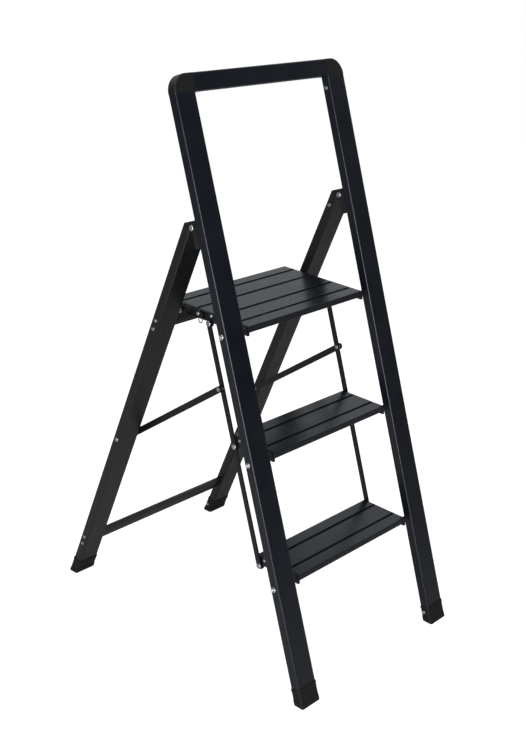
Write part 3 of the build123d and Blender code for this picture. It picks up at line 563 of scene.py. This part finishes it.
def rear_place(sizes):
    """The legs' slanted frame, laid out in the same way."""
    reach = (HINGE.z * math.sin(sizes.leg_lean) + sizes.hinge_ahead) / math.cos(sizes.leg_lean)
    return Matrix.Translation((0, HINGE.y + reach, 0)) @ Matrix.Rotation(sizes.leg_lean, 4, "X")


def copy_of(node):
    """A merged bmesh copy of a CAD node."""
    bm = bmesh.new()
    bm.from_mesh(frame["nodes"][node].data)
    bmesh.ops.remove_doubles(bm, verts=bm.verts, dist=MERGE)
    return bm


def add_piece(bm, name, node, smooth_angle=35):
    """Makes a bmesh into a piece with the body and the finish of a CAD node."""
    bmesh.ops.recalc_face_normals(bm, faces=bm.faces)
    for face in bm.faces:
        face.smooth = True
    for edge in bm.edges:
        edge.smooth = edge.calc_face_angle(math.pi) < math.radians(smooth_angle)
    mesh = bpy.data.meshes.new(name)
    bm.to_mesh(mesh)
    bm.free()
    piece = bpy.data.objects.new(name, mesh)
    bpy.context.scene.collection.objects.link(piece)
    slot = SLOT_OF[node]
    mesh.materials.append(finish_for(slot))
    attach(piece, frame["nodes"][node]["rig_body"])
    return piece


def soften(node, name, width):
    """A copy of a CAD node with its long sharp edges rounded off, which stands for it."""
    bm = copy_of(node)
    bmesh.ops.dissolve_limit(bm, angle_limit=FLAT, verts=bm.verts, edges=bm.edges)
    sharp = [
        edge
        for edge in bm.edges
        if edge.is_manifold and edge.calc_face_angle(0) > SHARP and edge.calc_length() > LONG_EDGE * width
    ]
    bmesh.ops.bevel(
        bm,
        geom=sharp,
        offset=width,
        offset_type="OFFSET",
        affect="EDGES",
        segments=2,
        profile=0.5,
        material=-1,
        clamp_overlap=True,
    )
    piece = add_piece(bm, name, node)
    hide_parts(node)
    return piece


# ---------------------------------------------------------------- shoes


def all_parts(bm):
    """Every vertex, edge and face of a bmesh."""
    return bm.verts[:] + bm.edges[:] + bm.faces[:]


def sole_faces(bm):
    """The faces of a shoe that stand on the floor."""
    return [face for face in bm.faces if face.normal.z < -0.99 and face.calc_center_median().z < TINY]


def shoe_sleeve(sizes, width, depth, wall, collar):
    """An upright sleeve round a tube's end, with a pocket for the tube and a rounded rim."""
    # The stock is long enough to be cut off level with the floor.
    length = collar + SHOE_STOCK
    bm = bmesh.new()
    bmesh.ops.create_cube(bm, size=1.0)
    bmesh.ops.scale(bm, vec=(width, depth, length), verts=bm.verts)
    bmesh.ops.translate(bm, vec=(0, sizes.tube_depth / 2, collar - length / 2), verts=bm.verts)
    corners = [edge for edge in bm.edges if abs(edge.verts[0].co.z - edge.verts[1].co.z) > TINY]
    bmesh.ops.bevel(
        bm,
        geom=corners,
        offset=sizes.tube_corner + wall,
        affect="EDGES",
        segments=5,
        profile=0.5,
        material=-1,
    )
    mouth = [face for face in bm.faces if face.normal.z > 0.9]
    bmesh.ops.inset_region(bm, faces=mouth, thickness=wall - SHOE_SLACK, use_even_offset=True)
    down = bmesh.ops.extrude_face_region(bm, geom=mouth)
    floor_verts = [part for part in down["geom"] if isinstance(part, bmesh.types.BMVert)]
    bmesh.ops.translate(bm, vec=(0, 0, SHOE_FLOOR - collar), verts=floor_verts)
    bmesh.ops.delete(bm, geom=[face for face in mouth if face.is_valid], context="FACES_ONLY")
    rim = []
    for edge in bm.edges:
        at_top = all(abs(vert.co.z - collar) < TINY for vert in edge.verts)
        outside = any(
            face.normal.z < 0.1 and face.calc_center_median().z < collar / 2 for face in edge.link_faces
        )
        reach = max(abs(vert.co.x) for vert in edge.verts) / (width / 2)
        side = max(abs(vert.co.y - sizes.tube_depth / 2) for vert in edge.verts) / (depth / 2)
        if at_top and outside and max(reach, side) > NEAR_OUTSIDE:
            rim.append(edge)
    bmesh.ops.bevel(
        bm,
        geom=rim,
        offset=RIM_ROUND,
        affect="EDGES",
        segments=2,
        profile=0.5,
        material=-1,
        clamp_overlap=True,
    )
    return bm


def cut_shoe(sizes, bm, matrix, collar):
    """Marks off the lip, stands the sleeve on its tube, cuts it at the floor and marks off the sole band."""
    bmesh.ops.bisect_plane(
        bm,
        geom=all_parts(bm),
        dist=CUT,
        plane_co=(0, 0, collar - sizes.shoe_lip),
        plane_no=(0, 0, 1),
    )
    bmesh.ops.transform(bm, matrix=matrix, verts=bm.verts)
    bmesh.ops.bisect_plane(
        bm, geom=all_parts(bm), dist=CUT, plane_co=(0, 0, 0), plane_no=(0, 0, 1), clear_inner=True
    )
    opening = [edge for edge in bm.edges if edge.is_boundary and max(v.co.z for v in edge.verts) < TINY]
    bmesh.ops.contextual_create(bm, geom=opening)
    sole_edges = [edge for edge in bm.edges if max(v.co.z for v in edge.verts) < TINY]
    bmesh.ops.bevel(
        bm, geom=sole_edges, offset=SOLE_ROUND, affect="EDGES", segments=3, profile=0.5, material=-1
    )
    bmesh.ops.bisect_plane(
        bm, geom=all_parts(bm), dist=CUT, plane_co=(0, 0, sizes.sole), plane_no=(0, 0, 1)
    )


def set_in_waist(sizes, bm, matrix, inner_half, wall, collar):
    """Sets in the outside of a shoe between its lip and its sole band."""
    axis = (matrix.to_3x3() @ Vector((0, 0, 1))).normalized()
    to_local = matrix.inverted()
    waist = []
    for face in bm.faces:
        centre = face.calc_center_median()
        local = to_local @ centre
        facing_out = abs(face.normal.dot(axis)) < 0.2
        past_x = abs(local.x) - inner_half
        past_y = abs(local.y - sizes.tube_depth / 2) - sizes.tube_depth / 2
        corner = past_x > -sizes.tube_corner and past_y > -sizes.tube_corner
        rim_distance = math.hypot(past_x + sizes.tube_corner, past_y + sizes.tube_corner)
        outer = max(past_x, past_y) > wall * 0.6 or (corner and rim_distance > sizes.tube_corner + wall * 0.6)
        level = sizes.sole < centre.z and local.z < collar - sizes.shoe_lip
        if facing_out and outer and level:
            waist.append(face)
    bmesh.ops.inset_region(bm, faces=waist, thickness=WAIST_STEP, depth=-WAIST_DEPTH, use_even_offset=True)


def groove_sole(bm):
    """Divides the sole into bars across the stool and sinks the middle of each."""
    depths = [vert.co.y for face in sole_faces(bm) for vert in face.verts]
    y_low = min(depths)
    y_high = max(depths)
    for step in range(1, SOLE_BARS):
        bottom = sole_faces(bm)
        around = list({edge for face in bottom for edge in face.edges})
        points = list({vert for face in bottom for vert in face.verts})
        bmesh.ops.bisect_plane(
            bm,
            geom=bottom + around + points,
            dist=CUT,
            plane_co=(0, y_low + (y_high - y_low) * step / SOLE_BARS, 0),
            plane_no=(0, 1, 0),
        )
    bmesh.ops.inset_individual(bm, faces=sole_faces(bm), thickness=SOLE_GROOVE, depth=-SOLE_GROOVE)


def mould_shoe(sizes, node, name, place, collar):
    """A shoe: rounded sleeve with a lip round its mouth, a recessed waist, a sole band and sole bars."""
    low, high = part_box(node)
    tube_low, tube_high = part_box(node.replace("front_foot", "front_rail").replace("rear_foot", "rear_leg"))
    width = high.x - low.x
    tube_width = tube_high.x - tube_low.x
    wall = (width - tube_width) / 2
    bm = shoe_sleeve(sizes, width, sizes.tube_depth + 2 * wall, wall, collar)
    matrix = place @ Matrix.Translation(((low.x + high.x) / 2, 0, 0))
    cut_shoe(sizes, bm, matrix, collar)
    set_in_waist(sizes, bm, matrix, tube_width / 2, wall, collar)
    groove_sole(bm)
    bmesh.ops.remove_doubles(bm, verts=bm.verts, dist=MERGE)
    piece = add_piece(bm, name, node)
    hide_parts(node)
    return piece


# ---------------------------------------------------------------- ribs


def lay_ribs(bm, centres, width, height, x_reach, flat):
    """Low bars along X with chamfered tops, at (y, z) centres, standing up or out of the front edge."""
    for y, z in centres:
        made = bmesh.ops.create_cube(bm, size=1.0)["verts"]
        across = (2 * x_reach, width, height) if flat else (2 * x_reach, height, width)
        bmesh.ops.scale(bm, vec=across, verts=made)
        bmesh.ops.translate(bm, vec=(0, y, z), verts=made)
        edges = {edge for vert in made for edge in vert.link_edges}
        outer = []
        for edge in edges:
            along_x = abs(edge.verts[0].co.x - edge.verts[1].co.x) > x_reach
            middle = (edge.verts[0].co + edge.verts[1].co) / 2
            proud = middle.z > z if flat else middle.y < y
            if along_x and proud:
                outer.append(edge)
        bmesh.ops.bevel(
            bm,
            geom=outer,
            offset=height * 0.45,
            affect="EDGES",
            segments=1,
            profile=0.5,
            material=-1,
        )


# ---------------------------------------------------------------- fasteners


def joined_to(start):
    """A vertex and all that are joined to it by edges."""
    joined = [start]
    found = {start}
    for vert in joined:
        for edge in vert.link_edges:
            other = edge.other_vert(vert)
            if other not in found:
                found.add(other)
                joined.append(other)
    return joined


def solids_of(bm):
    """The separate solids of a merged mesh, as lists of vertices."""
    seen = set()
    solids = []
    for vert in bm.verts:
        if vert not in seen:
            solids.append(joined_to(vert))
            seen.update(solids[-1])
    return solids


def read_profile(points, turn):
    """Centre line and (along, radius) corners of a turned solid, whose axis is the turn's Z."""
    flat = [turn.transposed() @ point for point in points]
    centre_x = (min(p.x for p in flat) + max(p.x for p in flat)) / 2
    centre_y = (min(p.y for p in flat) + max(p.y for p in flat)) / 2
    rings = {}
    for point in flat:
        radius = math.hypot(point.x - centre_x, point.y - centre_y)
        rings.setdefault(round(point.z, 5), set()).add(round(radius, 5))
    profile = []
    last = 0.0
    for along in sorted(rings):
        radii = sorted(rings[along], key=lambda radius: abs(radius - last))
        ends = [radii[0], radii[-1]] if len(radii) > 1 else radii
        for radius in ends:
            profile.append((along, radius))
        last = ends[-1]
    return turn @ Vector((centre_x, centre_y, 0)), profile


def domed_end(profile):
    """Height and radius of the domed head at the profile's start, or None if it ends in a plain disc."""
    start, first = next((along, radius) for along, radius in profile if radius > 0)
    widest = first
    for along, radius in profile:
        if radius < widest - TINY:
            return (along - start, widest) if widest > first + TINY else None
        widest = max(widest, radius)
    return None


def head_profile(kind, height, radius):
    """(depth, radius) corners of a head, from its middle outwards, and those that shape its recess."""
    dome = [
        (0.00, 0.56),
        (0.08, 0.72),
        (0.24, 0.87),
        (0.46, 0.96),
        (0.72, 1.00),
        (1.00, 1.00),
    ]
    if kind == "rivet":
        # The broken-off mandrel stands in the middle of a blind rivet's dished head.
        middle = [(0.10, 0.0), (0.10, 0.20), (0.45, 0.24), (0.45, 0.36), (0.04, 0.46)]
        rings = []
    elif kind == "peened":
        middle = [(0.12, 0.0), (0.12, 0.14), (0.00, 0.24)]
        rings = []
    else:
        middle = [(0.62, 0.0), (0.62, 0.44), (0.05, 0.48)]
        rings = [1, 2]
    corners = [(depth * height, part * radius) for depth, part in middle + dome]
    return corners, [corners[index] for index in rings]


def recess_factor(kind, step):
    """How far the edge of a recess reaches at each step round the head."""
    if kind == "cross":
        return 1.15 if step % 6 in (0, 1) else 0.42
    angle = math.radians(step * 360 / TURN_STEPS)
    return math.cos(math.pi / 6) / math.cos((angle + math.pi / 6) % (math.pi / 3) - math.pi / 6)


def with_new_head(kind, corners, profile=None):
    """Corners of a turned profile with the domed head at their start made afresh, and its recess corners.

    The head is found in the profile as it was before the other end was changed, if that is given.
    """
    profile = profile or corners
    head = domed_end(profile)
    if not head:
        return list(corners), []
    start = min(along for along, radius in profile)
    made, rings = head_profile(kind, *head)
    keep = [point for point in corners if point[0] > start + head[0] + TINY]
    seat = [point for point in corners if abs(point[0] - start - head[0]) <= TINY]
    made = [(start + depth, radius) for depth, radius in made]
    return made + seat[1:] + keep, [(start + depth, radius) for depth, radius in rings]


def turn_fastener(bm, kind, centre, profile, turn):
    """Spins one fastener about its centre line, with its domed heads made afresh."""
    corners, head_recess = with_new_head(kind, profile)
    flipped = [(-along, radius) for along, radius in reversed(corners)]
    flipped, tail_recess = with_new_head(kind, flipped, [(-a, r) for a, r in reversed(profile)])
    corners = [(-along, radius) for along, radius in reversed(flipped)]
    recesses = head_recess + [(-along, radius) for along, radius in tail_recess]
    if corners[0][1] > 0:
        corners.insert(0, (corners[0][0], 0.0))
    if corners[-1][1] > 0:
        corners.append((corners[-1][0], 0.0))
    verts = [bm.verts.new((radius, 0, along)) for along, radius in corners]
    edges = [bm.edges.new(pair) for pair in zip(verts, verts[1:])]
    bmesh.ops.spin(
        bm,
        geom=verts + edges,
        cent=(0, 0, 0),
        axis=(0, 0, 1),
        angle=2 * math.pi,
        steps=TURN_STEPS,
        use_merge=True,
    )
    whole = joined_to(verts[0])
    if kind in ("cross", "hexagon"):
        for vert in whole:
            reach = math.hypot(vert.co.x, vert.co.y)
            if any(abs(vert.co.z - a) < TINY / 2 and abs(reach - r) < TINY / 2 for a, r in recesses):
                step = round(math.atan2(vert.co.y, vert.co.x) / (2 * math.pi) * TURN_STEPS) % TURN_STEPS
                factor = recess_factor(kind, step)
                vert.co.x *= factor
                vert.co.y *= factor
    matrix = Matrix.Translation(centre) @ turn.to_4x4()
    bmesh.ops.transform(bm, matrix=matrix, verts=whole)


def turned_set(node, kind):
    """All the fasteners of a CAD node, turned afresh with real heads."""
    sizes = bpy.context.scene.stool_sizes
    across = Matrix.Rotation(math.radians(90), 3, "Y")
    into_rail = front_place(sizes).to_3x3() @ Matrix.Rotation(math.radians(90), 3, "X")
    up_rail = front_place(sizes).to_3x3()
    source = copy_of(node)
    bm = bmesh.new()
    for solid in solids_of(source):
        points = [vert.co.copy() for vert in solid]
        turn = across
        if node == "hinge_bracket_rivets":
            turn = into_rail
        if node == "corner_rivets":
            centre_x = sum(abs(point.x) for point in points) / len(points)
            if centre_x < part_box("top_rail")[1].x - UP_RIVET_INSET:
                turn = up_rail
        centre, profile = read_profile(points, turn)
        turn_fastener(bm, kind, centre, profile, turn)
    source.free()
    bmesh.ops.remove_doubles(bm, verts=bm.verts, dist=MERGE)
    piece = add_piece(bm, f"turned_{node}", node, smooth_angle=40)
    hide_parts(node)
    return piece


def brighten_collars(piece):
    """The rest pins' collars against the legs are left in bright zinc."""
    piece.data.materials.append(finish_for("bright_steel"))
    leg_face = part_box("lower_crossbar")[1].x
    for face in piece.data.polygons:
        if abs(face.center.x) > leg_face - COLLAR:
            face.material_index = 1


# ---------------------------------------------------------------- operators


class STOOL_OT_coat_tubes(bpy.types.Operator):
    """Coat the rails, the hand rail and the legs, and round the crossbars' edges"""

    bl_idname = "stool.coat_tubes"
    bl_label = "Coat the tubes"

    def execute(self, context):
        for node in ("left_front_rail", "right_front_rail", "top_rail", "left_rear_leg", "right_rear_leg"):
            coat(node)
        for place in ("lower", "upper"):
            soften(f"{place}_crossbar", f"{place}_crossbar_edged", context.scene.stool_sizes.edge_break)
        return {"FINISHED"}


class STOOL_OT_mould_corners(bpy.types.Operator):
    """Finish the moulded corners of the hand rail"""

    bl_idname = "stool.mould_corners"
    bl_label = "Mould the corners"

    def execute(self, context):
        for side in SIDES:
            coat(f"{side}_corner_connector")
        return {"FINISHED"}


class STOOL_OT_shape_hinges(bpy.types.Operator):
    """Round off the hinge brackets and the legs' moulded ends"""

    bl_idname = "stool.shape_hinges"
    bl_label = "Shape the hinges"

    def execute(self, context):
        width = context.scene.stool_sizes.edge_break
        for side in SIDES:
            soften(f"{side}_hinge_bracket", f"{side}_bracket_moulding", width)
            soften(f"{side}_leg_hinge_cap", f"{side}_leg_cap_moulding", width)
        return {"FINISHED"}


class STOOL_OT_rib_treads(bpy.types.Operator):
    """Finish the planks and lay their non-slip ribs and ridged front edges"""

    bl_idname = "stool.rib_treads"
    bl_label = "Rib the treads"

    def execute(self, context):
        sizes = context.scene.stool_sizes
        for node in TREAD_NODES:
            coat(node)
            low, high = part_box(node)
            x_reach = high.x - RIB_END
            height = sizes.rib_height + RIB_BURY
            grooves = [low.y + back * MM for back in GROOVES_OF[node]]
            bead = sizes.bead_height + RIB_BURY
            bead_at = sizes.groove_half + bead / 2
            centres = []
            y = low.y + FIRST_RIB
            while y < high.y - LAST_RIB:
                if all(abs(y - groove) > bead_at + bead / 2 + sizes.rib_width / 2 for groove in grooves):
                    centres.append((y, high.z + sizes.rib_height - height / 2))
                y += sizes.rib_pitch
            beads = []
            for groove in grooves:
                beads.append((groove - bead_at, high.z + sizes.bead_height - bead / 2))
                beads.append((groove + bead_at, high.z + sizes.bead_height - bead / 2))
            ridge_y = low.y - 2 * sizes.rib_height + height
            ridges = [(ridge_y, high.z - drop) for drop in RIDGE_DROPS]
            bm = bmesh.new()
            lay_ribs(bm, centres, sizes.rib_width, height, x_reach, flat=True)
            lay_ribs(bm, beads, bead, bead, x_reach, flat=True)
            lay_ribs(bm, ridges, sizes.rib_width, 2 * height, x_reach, flat=False)
            add_piece(bm, f"{node}_ribs", node)
        return {"FINISHED"}


class STOOL_OT_edge_plates(bpy.types.Operator):
    """Break the edges of the treads' side plates"""

    bl_idname = "stool.edge_plates"
    bl_label = "Edge the side plates"

    def execute(self, context):
        width = context.scene.stool_sizes.edge_break
        for node in PLATE_NODES:
            soften(node, f"{node}_blank", width)
        return {"FINISHED"}


class STOOL_OT_edge_rods(bpy.types.Operator):
    """Break the edges of the link rods and braces, and finish their washers and bushes"""

    bl_idname = "stool.edge_rods"
    bl_label = "Edge the rods"

    def execute(self, context):
        width = context.scene.stool_sizes.edge_break
        for side in SIDES:
            soften(f"{side}_link_rod", f"{side}_rod_bar", width)
            soften(f"{side}_brace", f"{side}_brace_bar", width)
            coat(f"{side}_rod_washers")
        coat("tread_pivot_bushes")
        return {"FINISHED"}


class STOOL_OT_mould_shoes(bpy.types.Operator):
    """Mould the four shoes"""

    bl_idname = "stool.mould_shoes"
    bl_label = "Mould the shoes"

    def execute(self, context):
        sizes = context.scene.stool_sizes
        for side in SIDES:
            for end, place, collar in (
                ("front", front_place(sizes), sizes.front_collar),
                ("rear", rear_place(sizes), sizes.rear_collar),
            ):
                mould_shoe(sizes, f"{side}_{end}_foot", f"{side}_{end}_shoe", place, collar)
        return {"FINISHED"}


class STOOL_OT_fit_catch(bpy.types.Operator):
    """Finish the safety catch and its pull loop"""

    bl_idname = "stool.fit_catch"
    bl_label = "Fit the catch"

    def execute(self, context):
        soften("catch_lever", "catch_lever_blank", context.scene.stool_sizes.edge_break / 2)
        coat("catch_pull_loop")
        return {"FINISHED"}


class STOOL_OT_set_fasteners(bpy.types.Operator):
    """Turn the rivets, screws, bolts and pins with real heads"""

    bl_idname = "stool.set_fasteners"
    bl_label = "Set the fasteners"

    def execute(self, context):
        for node in RIVETS:
            turned_set(node, "rivet")
        for node in SCREWS:
            turned_set(node, "cross")
        for node in BOLTS:
            turned_set(node, "hexagon")
        for node in PEENED:
            piece = turned_set(node, "peened")
            if node == "rest_pins":
                brighten_collars(piece)
        return {"FINISHED"}


class STOOL_OT_light_stage(bpy.types.Operator):
    """Lay the floor, light the studio and set up the camera"""

    bl_idname = "stool.light_stage"
    bl_label = "Light the stage"

    def execute(self, context):
        scene = context.scene
        stage = scene.stool_stage
        lay_floor(stage, scene.stool_colours.floor)
        light_world(scene, stage)
        add_lamp("top_light", *TOP_LIGHT, stage.top_power)
        add_lamp("front_light", *FRONT_LIGHT, stage.front_power)
        set_camera(scene, stage)
        scene.view_settings.view_transform = "Standard"
        return {"FINISHED"}


def lay_floor(stage, colour):
    """A plain pale floor just under the soles, white to look at and darker as a light on the stool."""
    bm = bmesh.new()
    bmesh.ops.create_grid(bm, x_segments=1, y_segments=1, size=stage.floor_half)
    bmesh.ops.translate(bm, vec=(0, 0, -0.2 * MM), verts=bm.verts)
    mesh = bpy.data.meshes.new("studio_floor")
    bm.to_mesh(mesh)
    bm.free()
    floor = bpy.data.objects.new("studio_floor", mesh)
    bpy.context.scene.collection.objects.link(floor)
    sockets = {"Base Color": (*colour, 1.0), "Roughness": 0.9, "Specular IOR Level": 0.1}
    material, tree, shader = start_material("pale_floor", sockets)
    glow = add_node(tree, "ShaderNodeEmission", {"Strength": stage.floor_glow})
    lit = add_node(
        tree, "ShaderNodeAddShader", links={0: shader.outputs["BSDF"], 1: glow.outputs["Emission"]}
    )
    seen = add_node(tree, "ShaderNodeLightPath").outputs["Is Camera Ray"]
    both = add_node(
        tree, "ShaderNodeMixShader", links={0: seen, 1: shader.outputs["BSDF"], 2: lit.outputs["Shader"]}
    )
    output = next(node for node in tree.nodes if node.type == "OUTPUT_MATERIAL")
    tree.links.new(both.outputs["Shader"], output.inputs["Surface"])
    mesh.materials.append(material)


def light_world(scene, stage):
    """A white surround to look at, and a studio that is lit behind the stool and dim in front of it."""
    world = bpy.data.worlds.new("studio")
    scene.world = world
    world.use_nodes = True
    tree = world.node_tree
    tree.nodes.clear()
    direction = add_node(tree, "ShaderNodeTexCoord").outputs["Generated"]
    towards = add_node(
        tree, "ShaderNodeVectorMath", {"operation": "DOT_PRODUCT", 1: LIT_SIDE}, {0: direction}
    )
    level = add_node(
        tree,
        "ShaderNodeMapRange",
        {"From Min": 0.25, "From Max": 0.75, "To Min": stage.room, "To Max": stage.backdrop},
        {"Value": towards.outputs["Value"]},
    )
    studio = add_node(
        tree, "ShaderNodeBackground", {"Color": (0.94, 0.97, 1.0, 1.0)}, {"Strength": level.outputs["Result"]}
    )
    surround = add_node(tree, "ShaderNodeBackground", {"Color": (1.0, 1.0, 1.0, 1.0), "Strength": 1.0})
    seen = add_node(tree, "ShaderNodeLightPath").outputs["Is Camera Ray"]
    both = add_node(
        tree,
        "ShaderNodeMixShader",
        links={0: seen, 1: studio.outputs["Background"], 2: surround.outputs["Background"]},
    )
    add_node(tree, "ShaderNodeOutputWorld", links={"Surface": both.outputs["Shader"]})


def add_lamp(name, place, size, power):
    """A large soft light turned towards the middle of the stool."""
    lamp = bpy.data.lights.new(name, "AREA")
    lamp.shape = "RECTANGLE"
    lamp.size, lamp.size_y = size
    lamp.energy = power
    thing = bpy.data.objects.new(name, lamp)
    bpy.context.scene.collection.objects.link(thing)
    aim = Vector((0, 0, CAD_BOX[1][2] / 2)) - Vector(place)
    thing.rotation_euler = aim.to_track_quat("-Z", "Y").to_euler()
    thing.location = place


def set_camera(scene, stage):
    """The camera, in front and to the left of the stool, above its middle."""
    camera = bpy.data.cameras.new("studio_camera")
    camera.sensor_fit = "VERTICAL"
    camera.sensor_height = 36.0
    camera.lens = stage.lens
    camera.clip_end = 200.0
    thing = bpy.data.objects.new("studio_camera", camera)
    scene.collection.objects.link(thing)
    turn = Matrix.Rotation(stage.heading, 4, "Z")
    turn = turn @ Matrix.Rotation(math.radians(90) - stage.down, 4, "X")
    turn = turn @ Matrix.Rotation(stage.roll, 4, "Z")
    thing.matrix_world = Matrix.Translation(stage.camera_at) @ turn
    scene.camera = thing


class STOOL_PT_panel(bpy.types.Panel):
    """Steps that finish the stool"""

    bl_idname = "STOOL_PT_panel"
    bl_label = "Folding step stool"
    bl_space_type = "VIEW_3D"
    bl_region_type = "UI"
    bl_category = "Stool"

    def draw(self, context):
        layout = self.layout
        for operator in OPERATORS:
            layout.operator(operator.bl_idname)
        for name in ("stool_sizes", "stool_colours", "stool_stage"):
            group = getattr(context.scene, name)
            box = layout.box()
            for key in group.__annotations__:
                box.prop(group, key)


OPERATORS = (
    STOOL_OT_light_stage,
    STOOL_OT_coat_tubes,
    STOOL_OT_mould_corners,
    STOOL_OT_shape_hinges,
    STOOL_OT_rib_treads,
    STOOL_OT_edge_plates,
    STOOL_OT_edge_rods,
    STOOL_OT_mould_shoes,
    STOOL_OT_fit_catch,
    STOOL_OT_set_fasteners,
)
CLASSES = (StoolSizes, StoolColours, StoolStage, *OPERATORS, STOOL_PT_panel)


def register():
    for item in CLASSES:
        bpy.utils.register_class(item)
    bpy.types.Scene.stool_sizes = PointerProperty(type=StoolSizes)
    bpy.types.Scene.stool_colours = PointerProperty(type=StoolColours)
    bpy.types.Scene.stool_stage = PointerProperty(type=StoolStage)


def unregister():
    for name in ("stool_sizes", "stool_colours", "stool_stage"):
        delattr(bpy.types.Scene, name)
    for item in reversed(CLASSES):
        bpy.utils.unregister_class(item)


def main():
    """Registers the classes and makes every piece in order."""
    register()
    for operator in OPERATORS:
        group, name = operator.bl_idname.split(".")
        getattr(getattr(bpy.ops, group), name)()


if __name__ == "__main__":
    main()
